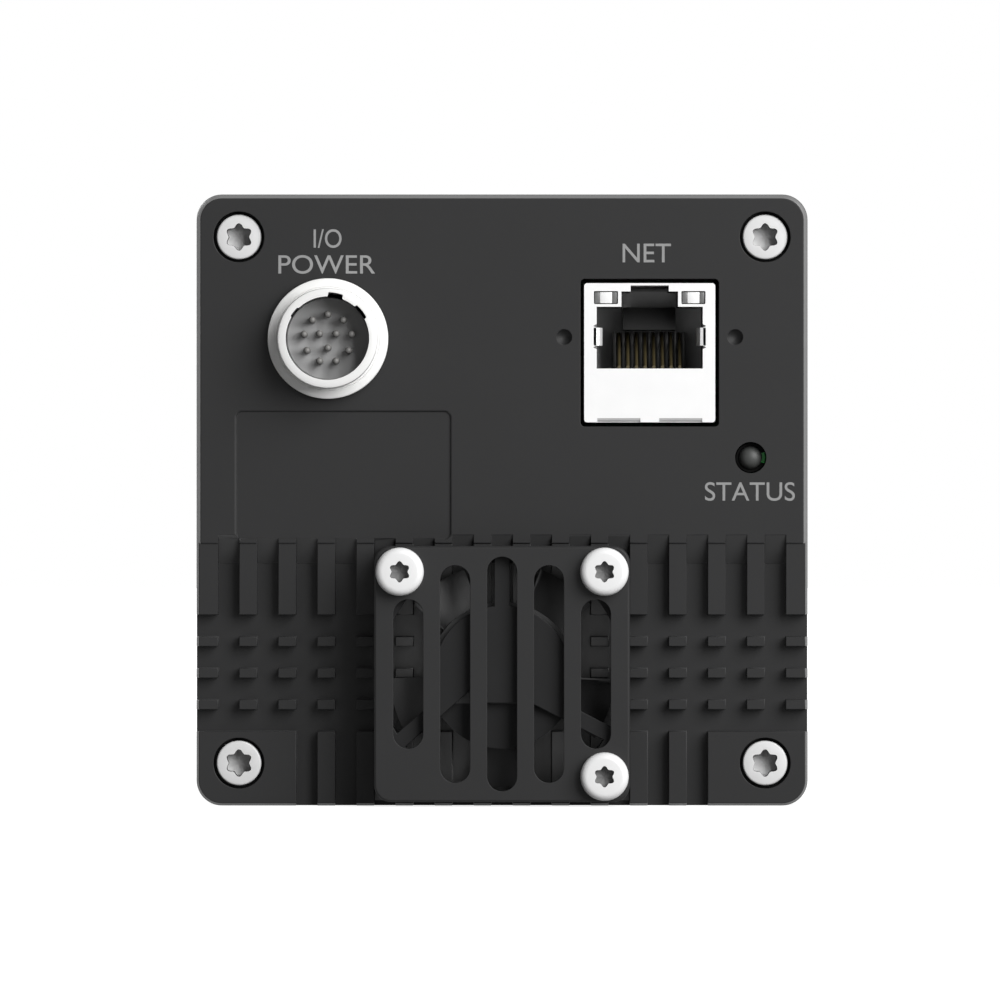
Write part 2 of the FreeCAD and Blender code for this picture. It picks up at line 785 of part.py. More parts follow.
def make_boards():
    """The sensor, processor and interface boards, each notched to clear the corner bosses."""
    sensor_board = plate("sensor_board", sensor_board_width, sensor_board_height,
                         cell.board_thickness, level=sensor_board_front)
    drill_board(sensor_board, columns)

    processor_board = new_body("processor_board", level=processor_board_front)
    for width, height in ((board_width, board_arm_height), (board_arm_width, board_height)):
        drawing = sketch(processor_board)
        rectangle(drawing, width, height)
        pad(processor_board, drawing, cell.board_thickness)
    drill_board(processor_board, columns + rear_columns)

    interface_board = new_body("interface_board", level=interface_board_front)
    for width, height in ((board_width, board_arm_height), (board_arm_width, board_height)):
        drawing = sketch(interface_board)
        tall = height / 2 - interface_board_low
        rectangle(drawing, width, tall, 0, interface_board_low + tall / 2)
        pad(interface_board, drawing, cell.board_thickness)
    drill_board(interface_board, rear_columns)


def make_spacers(label, level, length, places):
    """Hexagonal spacers with a stud at the front and a threaded hole at the rear."""
    body = new_body(label, level=level)
    bodies = sketch(body)
    studs = sketch(body)
    holes = sketch(body, length)
    for x, z in places:
        polygon(bodies, ring_points(spacer_circle, 6, x, z))
        circle(studs, cell.stud_radius, x, z)
        circle(holes, stud_hole, x, z)
    pad(body, bodies, length)
    pad(body, studs, cell.stud_length, inward=True)
    pocket(body, holes, cell.board_screw_length)


def make_board_screws():
    """The small pan head screws behind the processor and interface boards."""
    body = new_body("board_screws")
    for level, places in ((processor_board_rear, columns), (interface_board_rear, rear_columns)):
        heads = sketch(body, level)
        shanks = sketch(body, level)
        recesses = sketch(body, level + cell.board_screw_head_height)
        for x, z in places:
            circle(heads, cell.board_screw_head_radius, x, z)
            circle(shanks, cell.stud_radius, x, z)
            star(recesses, cell.board_recess_radius, x, z)
        pad(body, heads, cell.board_screw_head_height)
        pad(body, shanks, cell.board_screw_length, inward=True)
        pocket(body, recesses, cell.board_recess_depth)


def make_board_parts():
    """The chips, connectors, coils and capacitors that the boards carry."""
    plate("processor", cell.processor_width, cell.processor_height, cell.processor_thickness,
          level=processor_board_rear, z=processor_z)
    memory_places = [(cell.memory_pitch / 2 * i, memory_z) for i in (-3, -1, 1, 3)]
    blocks("memory_chips", processor_board_rear, cell.memory_width, cell.memory_height,
           cell.memory_thickness, memory_places)
    front_connector_x = sensor_board_width / 2 - cell.front_connector_inset
    connector_places = [(front_connector_x * side, 0) for side in (-1, 1)]
    blocks("front_board_connectors", sensor_board_rear, cell.connector_width,
           cell.connector_length, cell.front_spacer_length, connector_places)
    blocks("rear_board_connector", processor_board_rear, cell.connector_length,
           cell.connector_width, cell.rear_spacer_length, [(rear_connector_x, rear_connector_z)])
    plate("thermal_pad", cell.processor_width, cell.processor_height, cell.thermal_pad_thickness,
          level=processor_board_rear + cell.processor_thickness, z=processor_z)
    last_coil_x = net_x - (cell.net_shield_width + cell.coil_width) / 2 - cell.coil_side_gap
    coil_places = [(last_coil_x - cell.coil_pitch * i, interface_board_low + cell.coil_rise)
                   for i in range(3)]
    blocks("power_coils", interface_board_rear, cell.coil_width, cell.coil_width,
           cell.coil_height, coil_places)
    capacitors = new_body("capacitors", level=interface_board_rear)
    cans = sketch(capacitors)
    for side in (-1, 1):
        circle(cans, cell.capacitor_radius, cell.capacitor_spacing / 2 * side,
               interface_board_low + cell.capacitor_rise)
    pad(capacitors, cans, cell.capacitor_height)
    plate("net_transformer", cell.transformer_width, cell.transformer_height,
          cell.transformer_thickness, x=net_x,
          level=interface_board_front - cell.transformer_thickness, z=net_z)


def make_gasket():
    """The flat seal between the housing and the rear cover."""
    body = new_body("rear_gasket", level=housing_rear)
    outline = sketch(body)
    inset = cell.gasket_inset * 2
    rounded_rectangle(outline, cell.body_width - inset, cell.body_height - inset,
                      cell.body_corner_radius - cell.gasket_inset)
    pad(body, outline, cell.gasket_thickness)
    for width, height in ((cavity_width, arm_height), (arm_width, cavity_height)):
        cavity = sketch(body, cell.gasket_thickness)
        rectangle(cavity, width, height)
        pocket(body, cavity, cell.gasket_thickness)
    holes = sketch(body, cell.gasket_thickness)
    for x, z in corner_screws:
        circle(holes, cell.cover_screw_radius + cell.hole_clearance, x, z)
    pocket(body, holes, cell.gasket_thickness)


def groove_profile(body, x, end):
    """The side view of a cooling groove that runs out into the panel on an arc."""
    floor = cell.cover_thickness - cell.fin_recess - cell.fin_height
    depth = cell.fin_recess + cell.fin_height
    radius = cell.groove_runout_radius
    run = root(radius * depth * 2 - depth * depth)
    top = floor + radius
    centre_z = fin_zone_top + cell.groove_lead - run
    end = as_size(end)
    drawing = sketch(body, x, "YZ_Plane")
    ring = Part.Circle(Vector(-top.value, centre_z.value, 0), Vector(0, 0, 1), radius.value)
    arc = drawing.addGeometry(Part.ArcOfCircle(ring, 0, math.pi / 2), False)
    points = [
        Vector(-top.value, centre_z.value + radius.value, 0),
        Vector(-top.value, end.value, 0),
        Vector(-floor.value, end.value, 0),
        Vector(-floor.value, centre_z.value, 0),
    ]
    lines = [
        drawing.addGeometry(Part.LineSegment(points[i], points[i + 1]), False) for i in range(3)
    ]
    joints = ((arc, 2, lines[0], 1), (lines[0], 2, lines[1], 1), (lines[1], 2, lines[2], 1),
              (lines[2], 2, arc, 1))
    for joint in joints:
        drawing.addConstraint(Sketcher.Constraint("Coincident", *joint))
    drawing.addConstraint(Sketcher.Constraint("Vertical", lines[0]))
    drawing.addConstraint(Sketcher.Constraint("Horizontal", lines[1]))
    drawing.addConstraint(Sketcher.Constraint("Vertical", lines[2]))
    drawing.addConstraint(Sketcher.Constraint("Vertical", arc, 2, arc, 3))
    drawing.addConstraint(Sketcher.Constraint("Horizontal", arc, 1, arc, 3))
    dimension(drawing, Sketcher.Constraint("Radius", arc, radius.value), radius)
    place(drawing, arc, 3, -top, centre_z)
    dimension(drawing, Sketcher.Constraint("DistanceY", -1, 1, lines[1], 1, end.value), end)
    return drawing


def make_rear_cover():
    """The connector panel with its pin and fin heatsink, milled from one block."""
    body = new_body("rear_cover", level=cover_front)
    top = cell.cover_thickness
    over = cell.body_corner_radius
    outline = sketch(body)
    rounded_rectangle(outline, cell.body_width, cell.body_height, cell.body_corner_radius)
    block = pad(body, outline, top)
    rim = dress(body, "Chamfer", block, cell.panel_chamfer,
                lambda edge: all(-v.Y > top.value - 1e-6 for v in edge.Vertexes))
    body.Tip = rim
    step = sketch(body, top)
    zone = half_height + over + fin_zone_top
    rectangle(step, cell.body_width + over, zone, 0, fin_zone_top - zone / 2)
    pocket(body, step, cell.fin_recess)

    bottom = -half_height - over
    last_cut = cell.cross_cut_rise - half_height
    boss_edge = last_cut - cell.cross_cut_width / 2
    middle_start = -cell.fin_pitch * (cell.middle_grooves - 1) / 2
    middle = groove_profile(body, middle_start, bottom)
    middle_cut = pocket(body, middle, cell.fin_gap, both_ways=True)
    row_of(body, middle_cut, middle, "N_Axis", cell.fin_pitch, cell.middle_grooves)
    outer_start = middle_start - cell.fin_pitch * cell.side_grooves
    for start in (outer_start, -middle_start + cell.fin_pitch):
        side = groove_profile(body, start, boss_edge)
        side_cut = pocket(body, side, cell.fin_gap, both_ways=True)
        row_of(body, side_cut, side, "N_Axis", cell.fin_pitch, cell.side_grooves)
    cross = sketch(body, top)
    rectangle(cross, cell.body_width + over, cell.cross_cut_width, 0, last_cut)
    cross_cut = pocket(body, cross, cell.fin_recess + cell.fin_height)
    row_of(body, cross_cut, cross, "V_Axis", cell.cross_cut_pitch, cell.cross_cuts)

    fan_bosses = sketch(body, top - cell.fin_recess)
    fan_threads = sketch(body, top - cell.fin_recess)
    for x, z in fan_places:
        circle(fan_bosses, cell.fan_boss_radius, x, fan_z + z)
        circle(fan_threads, cell.fan_screw_radius + cell.thread_clearance, x, fan_z + z)
    pad(body, fan_bosses, cell.fin_height, inward=True)
    pocket(body, fan_threads, cell.fan_screw_reach + cell.thread_runout)

    heads = sketch(body, top)
    shanks = sketch(body, top)
    for x, z in corner_screws:
        circle(heads, cell.counterbore_radius, x, z)
        circle(shanks, cell.cover_screw_radius + cell.hole_clearance, x, z)
    pocket(body, heads, cell.counterbore_depth)
    pocket(body, shanks, top)
    net = sketch(body, top)
    rounded_rectangle(net, cell.net_cutout_width, cell.net_cutout_height, cell.net_cutout_radius,
                      net_x, net_z)
    pocket(body, net, top)
    openings = sketch(body, top)
    circle(openings, cell.io_thread_radius + cell.io_panel_clearance, io_x, io_z)
    circle(openings, cell.status_hole_radius, status_x, status_z)
    pocket(body, openings, top)
    locks = sketch(body, top)
    for side in (-1, 1):
        circle(locks, cell.net_lock_radius, net_x + cell.net_lock_spacing / 2 * side,
               net_z + cell.net_lock_rise)
    pocket(body, locks, cell.net_lock_depth)
    label = sketch(body, top)
    rounded_rectangle(label, cell.label_width, cell.label_height, cell.label_radius,
                      label_x, label_z)
    pocket(body, label, cell.label_depth)
    pedestal = sketch(body)
    rectangle(pedestal, cell.pedestal_width, cell.pedestal_height, 0, processor_z)
    pad_rear = processor_board_rear + cell.processor_thickness + cell.thermal_pad_thickness
    pad(body, pedestal, cover_front - pad_rear, inward=True)


def make_cover_screws():
    """The four cylinder head screws that hold the rear cover."""
    seat = cell.cover_thickness - cell.counterbore_depth
    body = new_body("cover_screws", level=cover_front + seat)
    heads = sketch(body)
    shanks = sketch(body)
    recesses = sketch(body, cell.cover_screw_head_height)
    for x, z in corner_screws:
        circle(heads, cell.cover_screw_head_radius, x, z)
        circle(shanks, cell.cover_screw_radius, x, z)
        star(recesses, cell.recess_radius, x, z)
    pad(body, heads, cell.cover_screw_head_height)
    pad(body, shanks, seat + cell.gasket_thickness + cell.cover_screw_reach, inward=True)
    pocket(body, recesses, cell.recess_depth)


def make_io_receptacle():
    """The round signal and power receptacle with its seal, nut, insert and pins."""
    seal = new_body("io_seal", io_x, panel, io_z)
    turned(seal, [
        (0, cell.io_thread_radius + cell.io_panel_clearance),
        (0, cell.io_flange_radius - cell.io_seal_inset),
        (cell.io_seal_thickness, cell.io_flange_radius - cell.io_seal_inset),
        (cell.io_seal_thickness, cell.io_thread_radius + cell.io_panel_clearance),
    ])
    shell = new_body("io_shell", io_x, panel, io_z)
    flange_front = cell.io_seal_thickness
    flange_rear = flange_front + cell.io_flange_thickness
    back = -(cell.cover_thickness + cell.io_rear_length)
    bevel = cell.edge_chamfer / 2
    turned(shell, [
        (back, cell.io_bore_radius),
        (back, cell.io_thread_radius),
        (flange_front, cell.io_thread_radius),
        (flange_front, cell.io_flange_radius),
        (flange_rear - bevel, cell.io_flange_radius),
        (flange_rear, cell.io_flange_radius - bevel),
        (flange_rear, cell.io_barrel_radius),
        (cell.io_barrel_height - bevel, cell.io_barrel_radius),
        (cell.io_barrel_height, cell.io_barrel_radius - bevel),
        (cell.io_barrel_height, cell.io_bore_radius),
    ])
    keys = sketch(shell, cell.io_barrel_height)
    for angle in IO_KEY_ANGLES:
        outward = Vector(math.cos(math.radians(angle)), math.sin(math.radians(angle)), 0)
        across = Vector(-outward.y, outward.x, 0)
        half = cell.io_key_width / 2
        near = cell.io_bore_radius - cell.io_key_depth * 2
        far = cell.io_bore_radius + cell.io_key_depth
        corners = ((near, -1), (far, -1), (far, 1), (near, 1))
        polygon(keys, [(reach * outward.x + half * (side * across.x),
                        reach * outward.y + half * (side * across.y)) for reach, side in corners])
    pocket(shell, keys, cell.io_barrel_height - cell.io_insert_face)

    nut = new_body("io_nut", io_x, cover_front - cell.io_nut_thickness, io_z)
    drawing = sketch(nut)
    polygon(drawing, ring_points(cell.io_nut_flats / math.sqrt(3), 6))
    circle(drawing, cell.io_thread_radius + cell.thread_clearance)
    pad(nut, drawing, cell.io_nut_thickness)

    insert = new_body("io_insert", io_x, panel, io_z)
    disc = sketch(insert, back + cell.io_insert_rear)
    circle(disc, cell.io_bore_radius - cell.io_insert_clearance)
    pin_places = [
        (circle_radius * math.cos(math.radians(angle)), circle_radius * math.sin(math.radians(angle)))
        for circle_radius, angles in ((cell.io_pin_circle, IO_OUTER_PIN_ANGLES),
                                      (cell.io_inner_pin_circle, IO_INNER_PIN_ANGLES))
        for angle in angles
    ]
    for x, z in pin_places:
        circle(disc, cell.io_pin_radius + cell.io_pin_clearance, x, z)
    pad(insert, disc, cell.io_insert_face - back - cell.io_insert_rear)

    pins = new_body("io_pins", io_x, interface_board_rear, io_z)
    drawing = sketch(pins)
    for x, z in pin_places:
        circle(drawing, cell.io_pin_radius, x, z)
    pad(pins, drawing, panel + cell.io_insert_face + cell.io_pin_reach - interface_board_rear)


def port_outline(body, level, depth, inward=False):
    """Cut the plug opening, its latch recess and its catch slot, one above the other."""
    port_top = cell.net_port_rise + cell.net_port_height / 2
    latch_top = port_top + cell.net_latch_height
    cuts = (
        (cell.net_port_width, cell.net_port_height, cell.net_port_rise),
        (cell.net_latch_width, cell.net_latch_height * 2, port_top),
        (cell.net_catch_width, cell.net_catch_height * 2, latch_top),
    )
    for width, height, z in cuts:
        drawing = sketch(body, level)
        rectangle(drawing, width, height, 0, z)
        pocket(body, drawing, depth, inward)


def make_net_jack():
    """The shielded network jack: folded shield, moulded insert, contacts and light windows."""
    depth = net_front - interface_board_rear
    shield = new_body("net_shield", net_x, interface_board_rear, net_z)
    outline = sketch(shield)
    rectangle(outline, cell.net_shield_width, cell.net_shield_height)
    pad(shield, outline, depth)
    hollow = sketch(shield)
    inner_width = cell.net_shield_width - cell.net_wall * 2
    inner_height = cell.net_shield_height - cell.net_wall * 2
    rectangle(hollow, inner_width, inner_height)
    pocket(shield, hollow, depth - cell.net_wall, inward=True)
    port_outline(shield, depth, cell.net_wall)
    light_places = [(cell.net_light_spacing / 2 * side, cell.net_light_rise) for side in (-1, 1)]
    windows = sketch(shield, depth)
    for x, z in light_places:
        rectangle(windows, cell.net_light_width, cell.net_light_height, x, z)
    pocket(shield, windows, cell.net_wall)

    insert_depth = depth - cell.net_wall - cell.net_insert_gap
    insert = new_body("net_insert", net_x, interface_board_rear, net_z)
    block = sketch(insert)
    rectangle(block, inner_width - cell.net_insert_gap * 2, inner_height - cell.net_insert_gap * 2)
    pad(insert, block, insert_depth)
    port_outline(insert, insert_depth, cell.net_port_depth)
    light_gap = cell.net_insert_gap * 2
    wells = sketch(insert, insert_depth)
    for x, z in light_places:
        rectangle(wells, cell.net_light_width + light_gap, cell.net_light_height + light_gap, x, z)
    pocket(insert, wells, cell.net_light_length)

    lights = new_body("net_lights", net_x, interface_board_rear, net_z)
    pipes = sketch(lights, insert_depth - cell.net_light_length)
    for x, z in light_places:
        rectangle(pipes, cell.net_light_width - light_gap, cell.net_light_height - light_gap, x, z)
    pad(lights, pipes, cell.net_light_length + cell.net_insert_gap + cell.net_wall / 2)

    port_floor = cell.net_port_rise - cell.net_port_height / 2
    cavity_end = insert_depth - cell.net_port_depth
    foot = insert_depth - cell.net_contact_start
    crest = foot - cell.net_contact_run
    high = port_floor + cell.net_contact_rise
    thick = cell.net_contact_thickness
    contacts = new_body("net_contacts", net_x, interface_board_rear, net_z)
    first = cell.net_contact_pitch * (cell.net_contacts - 1) / 2
    profile = sketch(contacts, -first, "YZ_Plane")
    polygon(profile, [
        (-foot, port_floor),
        (-foot, port_floor + thick),
        (thick - foot, port_floor + thick),
        (-crest, high),
        (-cavity_end, high),
        (-cavity_end, high - thick),
        (-crest, high - thick),
        (thick * 2 - foot, port_floor),
    ])
    wire = pad(contacts, profile, cell.net_contact_width)
    wire.Midplane = True
    row_of(contacts, wire, profile, "N_Axis", cell.net_contact_pitch, cell.net_contacts)


def make_status_light():
    """The status light's chip on the interface board and its domed light pipe."""
    plate("status_led", cell.status_chip_width, cell.status_chip_width,
          cell.status_chip_thickness, x=status_x, level=interface_board_rear, z=status_z)
    pipe_front = interface_board_rear + cell.status_chip_thickness
    pipe = new_body("status_light", status_x, pipe_front, status_z)
    tip = panel - cell.status_recess - pipe_front
    shoulder = tip - cell.status_dome_height
    dome = [(shoulder + cell.status_dome_height * math.sin(turn),
             cell.status_dome_radius * math.cos(turn)) for turn in map(math.radians, DOME_ANGLES)]
    turned(pipe, [
        (0, 0),
        (0, cell.status_pipe_radius),
        (shoulder, cell.status_pipe_radius),
        *dome,
        (tip, 0),
    ])


def bar(drawing, angle, start, end, low, high):
    """A slanting rectangle: its angle, its ends along that and its edges across it."""
    turn = math.radians(angle)
    along = Vector(math.cos(turn), math.sin(turn), 0)
    corners = ((start, low), (end, low), (end, high), (start, high))
    polygon(drawing, [(r * along.x - s * along.y, r * along.y + s * along.x) for r, s in corners])


def strut(body, angle, shift=0):
    """One strut of the fan frame, from the hub to inside the frame's wall."""
    drawing = sketch(body, cell.fan_depth - cell.hub_thickness)
    half = cell.strut_width / 2
    bar(drawing, angle, as_size(0), fan_duct_radius + cell.edge_chamfer, -half - shift, half - shift)
    pad(body, drawing, cell.hub_thickness)


def make_fan():
    """The fan: frame with its stator, and the rotor that turns on the shaft."""
    frame = new_body("fan_frame", level=fin_top, z=fan_z)
    outline = sketch(frame)
    rounded_rectangle(outline, cell.fan_width, cell.fan_width, cell.fan_corner_radius)
    pad(frame, outline, cell.fan_depth)
    duct = sketch(frame, cell.fan_depth)
    circle(duct, fan_duct_radius)
    pocket(frame, duct, cell.fan_depth)
    hub_front = cell.fan_depth - cell.hub_thickness
    hub = sketch(frame, hub_front)
    circle(hub, cell.hub_radius)
    pad(frame, hub, cell.hub_thickness)
    flat = sketch(frame, cell.fan_depth)
    rectangle(flat, cell.hub_radius * 2, cell.hub_radius, 0, -cell.hub_flat - cell.hub_radius / 2)
    pocket(frame, flat, cell.hub_thickness)
    notch = sketch(frame, cell.fan_depth)
    bar(notch, LEAD_STRUT_ANGLE, cell.lead_notch_start, cell.hub_radius + cell.edge_chamfer,
        -cell.lead_strut_shift, cell.lead_notch_width - cell.lead_strut_shift)
    pocket(frame, notch, cell.hub_thickness)
    strut(frame, TOP_STRUT_ANGLE)
    strut(frame, SIDE_STRUT_ANGLE, cell.side_strut_shift)
    strut(frame, LEAD_STRUT_ANGLE, cell.lead_strut_shift)
    sleeve = sketch(frame, hub_front)
    circle(sleeve, cell.bearing_housing_radius)
    pad(frame, sleeve, cell.bearing_length, inward=True)
    sleeve_bore = sketch(frame, hub_front - cell.bearing_length)
    circle(sleeve_bore, cell.bearing_radius)
    pocket(frame, sleeve_bore, cell.bearing_length, inward=True)
    holes = sketch(frame, cell.fan_depth)
    for x, z in fan_places:
        circle(holes, cell.fan_hole_radius, x, z)
    pocket(frame, holes, cell.fan_depth)

    bearing = new_body("fan_bearing", level=fin_top + hub_front - cell.bearing_length, z=fan_z)
    ring = sketch(bearing)
    circle(ring, cell.bearing_radius)
    circle(ring, cell.shaft_radius + cell.shaft_running_gap)
    pad(bearing, ring, cell.bearing_length)

    board_front = hub_front - cell.fan_board_thickness
    board_radius = cell.rotor_radius - cell.magnet_thickness * 2 - cell.magnet_gap
    sleeve_clear = cell.bearing_housing_radius + cell.thread_clearance
    board = new_body("fan_board", level=fin_top + board_front, z=fan_z)
    ring = sketch(board)
    circle(ring, board_radius)
    circle(ring, sleeve_clear)
    pad(board, ring, cell.fan_board_thickness)

    core_front = cell.rotor_floor_gap + cell.rotor_floor + cell.core_lift
    core = new_body("fan_core", level=fin_top + core_front, z=fan_z)
    disc = sketch(core)
    circle(disc, board_radius)
    pad(core, disc, cell.core_thickness)
    windows = sketch(core, cell.core_thickness)
    inner = sleeve_clear + cell.core_hub_wall
    outer = board_radius - cell.core_shoe
    arm = cell.core_arm / 2
    polygon(windows, [(inner, arm), (root(outer * outer - arm * arm), arm),
                      (outer * DIAGONAL, outer * DIAGONAL), (arm, root(outer * outer - arm * arm)),
                      (arm, inner), (inner * DIAGONAL, inner * DIAGONAL)])
    window_cut = pocket(core, windows, cell.core_thickness)
    slot = sketch(core, cell.core_thickness)
    slot_start = outer * DIAGONAL - cell.core_arm
    polygon(slot, [(slot_start, slot_start - arm), (board_radius, board_radius - arm),
                   (board_radius, board_radius), (board_radius - arm, board_radius),
                   (slot_start - arm, slot_start)])
    slot_cut = pocket(core, slot, cell.core_thickness)
    pattern = ring_of(core, window_cut, STATOR_ARMS)
    pattern.Originals = [window_cut, slot_cut]
    hole = sketch(core, cell.core_thickness)
    circle(hole, sleeve_clear)
    pocket(core, hole, cell.core_thickness)

    coils = new_body("fan_coils", level=fin_top + core_front, z=fan_z)
    coil_inner = inner + cell.coil_air
    coil_outer = outer - cell.coil_air * 3
    coil_middle = (coil_inner + coil_outer) / 2
    coil_width = cell.core_arm + cell.coil_wall * 2 + cell.coil_air * 2
    winding = sketch(coils, -cell.coil_wall)
    rectangle(winding, coil_outer - coil_inner, coil_width, coil_middle, 0)
    winding_pad = pad(coils, winding, cell.core_thickness + cell.coil_wall * 2)
    tunnel = sketch(coils, coil_outer, "YZ_Plane")
    rectangle(tunnel, cell.core_thickness + cell.coil_air * 2, cell.core_arm + cell.coil_air * 2,
              -cell.core_thickness / 2, 0)
    tunnel_cut = pocket(coils, tunnel, coil_outer - coil_inner)
    pattern = ring_of(coils, tunnel_cut, STATOR_ARMS)
    pattern.Originals = [winding_pad, tunnel_cut]

    rotor_front = fin_top + cell.rotor_floor_gap
    rotor = new_body("fan_rotor", level=rotor_front, z=fan_z)
    cup_inner = cell.rotor_radius - cell.magnet_thickness
    boss_top = cell.rotor_floor + cell.rotor_boss_height
    turned(rotor, [
        (0, 0),
        (0, cell.rotor_radius - cell.edge_chamfer),
        (cell.edge_chamfer, cell.rotor_radius),
        (cell.rotor_height, cell.rotor_radius),
        (cell.rotor_height, cup_inner),
        (cell.rotor_floor, cup_inner),
        (cell.rotor_floor, cell.rotor_boss_radius),
        (boss_top, cell.rotor_boss_radius),
        (boss_top, 0),
    ])
    shaft_seat = sketch(rotor, boss_top)
    circle(shaft_seat, cell.shaft_radius)
    pocket(rotor, shaft_seat, boss_top - cell.rotor_floor / 2)
    blade_front, blade_rear = cell.blade_margin, cell.rotor_height - cell.blade_margin
    sections = []
    for x, spread in ((cell.rotor_radius - cell.blade_root_depth, cell.blade_root_spread),
                      (fan_duct_radius - cell.blade_tip_gap, cell.blade_tip_spread)):
        section = sketch(rotor, x, "YZ_Plane")
        thick = cell.blade_thickness
        polygon(section, [
            (-blade_front, -spread),
            (-blade_front, thick - spread),
            (-(blade_front + blade_rear) / 2, spread * BLADE_CAMBER_SHARE + thick),
            (-blade_rear, spread),
            (-blade_rear, spread - thick),
            (-(blade_front + blade_rear) / 2, spread * BLADE_CAMBER_SHARE - thick / 2),
        ])
        sections.append(section)
    blade = rotor.newObject("PartDesign::AdditiveLoft", "Blade")
    blade.Profile = sections[0]
    blade.Sections = sections[1:]
    blade.Ruled = True
    ring_of(rotor, blade, cell.blades)
    rotor.Placement.Rotation = FreeCAD.Rotation(Vector(0, -1, 0), FIRST_BLADE_ANGLE)

    magnet = new_body("fan_magnet", level=rotor_front + cell.rotor_floor, z=fan_z)
    ring = sketch(magnet)
    circle(ring, cup_inner)
    circle(ring, cup_inner - cell.magnet_thickness)
    pad(magnet, ring, cell.rotor_height - cell.rotor_floor)

    shaft_front = cell.rotor_floor / 2
    shaft = new_body("fan_shaft", level=rotor_front + shaft_front, z=fan_z)
    rod = sketch(shaft)
    circle(rod, cell.shaft_radius)
    pad(shaft, rod, hub_front - cell.rotor_floor_gap - shaft_front - cell.shaft_end_gap)


def make_guard():
    """The slotted plate over the fan and the three screws through both."""
    guard = new_body("fan_guard", level=guard_front, z=fan_z)
    outline = sketch(guard)
    rounded_rectangle(outline, cell.fan_width, cell.fan_width, cell.fan_corner_radius)
    plate_pad = pad(guard, outline, cell.guard_thickness)
    rim = dress(guard, "Chamfer", plate_pad, cell.edge_chamfer / 2,
                lambda edge: all(-v.Y > cell.guard_thickness.value - 1e-6 for v in edge.Vertexes))
    guard.Tip = rim
    slots = sketch(guard, cell.guard_thickness)
    insets = {0: cell.middle_slot_inset, 1: cell.second_slot_inset, 2: cell.outer_slot_inset}
    for place_number in range(-2, 3):
        length = cell.fan_width - insets[abs(place_number)] * 2
        upright_slot(slots, cell.slot_width, length, cell.slot_pitch * place_number)
    pocket(guard, slots, cell.guard_thickness)
    holes = sketch(guard, cell.guard_thickness)
    for x, z in guard_screws:
        circle(holes, cell.fan_hole_radius, x, z)
    pocket(guard, holes, cell.guard_thickness)

    screws = new_body("fan_screws", level=guard_front + cell.guard_thickness, z=fan_z)
    heads = sketch(screws)
    shanks = sketch(screws)
    recesses = sketch(screws, cell.fan_screw_head_height)
    for x, z in guard_screws:
        circle(heads, cell.fan_screw_head_radius, x, z)
        circle(shanks, cell.fan_screw_radius, x, z)
        star(recesses, cell.small_recess_radius, x, z)
    head_pad = pad(screws, heads, cell.fan_screw_head_height)
    crown = dress(screws, "Fillet", head_pad, cell.fan_screw_crown,
                  lambda edge: all(-v.Y > cell.fan_screw_head_height.value - 1e-6
                                   for v in edge.Vertexes))
    screws.Tip = crown
    pad(screws, shanks, cell.guard_thickness + cell.fan_depth + cell.fan_screw_reach, inward=True)
    pocket(screws, recesses, cell.recess_depth)


make_housing()
make_lens_mount()
make_sensor()
make_boards()
make_spacers("front_spacers", sensor_board_rear, cell.front_spacer_length, columns)
make_spacers("rear_spacers", processor_board_rear, cell.rear_spacer_length, rear_columns)
make_board_screws()
make_board_parts()
make_gasket()
make_rear_cover()
make_cover_screws()
make_io_receptacle()
make_net_jack()
make_status_light()
make_fan()
make_guard()
doc.recompute()

broken = [item.Name for item in doc.Objects if "Invalid" in item.State or "Error" in item.State]
if broken:
    raise SystemExit(f"failed to build: {broken}")
for piece in pieces:
    if piece.Shape.isNull() or not piece.Shape.isValid() or not piece.Shape.Solids:
        raise SystemExit(f"bad shape: {piece.Label}")

os.makedirs("parts", exist_ok=True)
for piece in pieces:
    piece.Shape.exportStep(f"parts/{piece.Label}.step")
    print(piece.Label, len(piece.Shape.Solids), "solids,", round(piece.Shape.Volume, 3), "mm3")
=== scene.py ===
"""Looks of a machine vision camera, shown from its connector panel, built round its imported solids.

Lengths are metres in the part's own frame: +Y leaves the lens mount, +Z is up and the connector
panel faces -Y. The heights of a turned profile grow from a piece's seat towards -Y.
"""

import json
import logging
import math
from dataclasses import dataclass
from enum import Enum
from typing import Any, Callable, Optional, Sequence

import bmesh
import bpy
from mathutils import Matrix, Vector


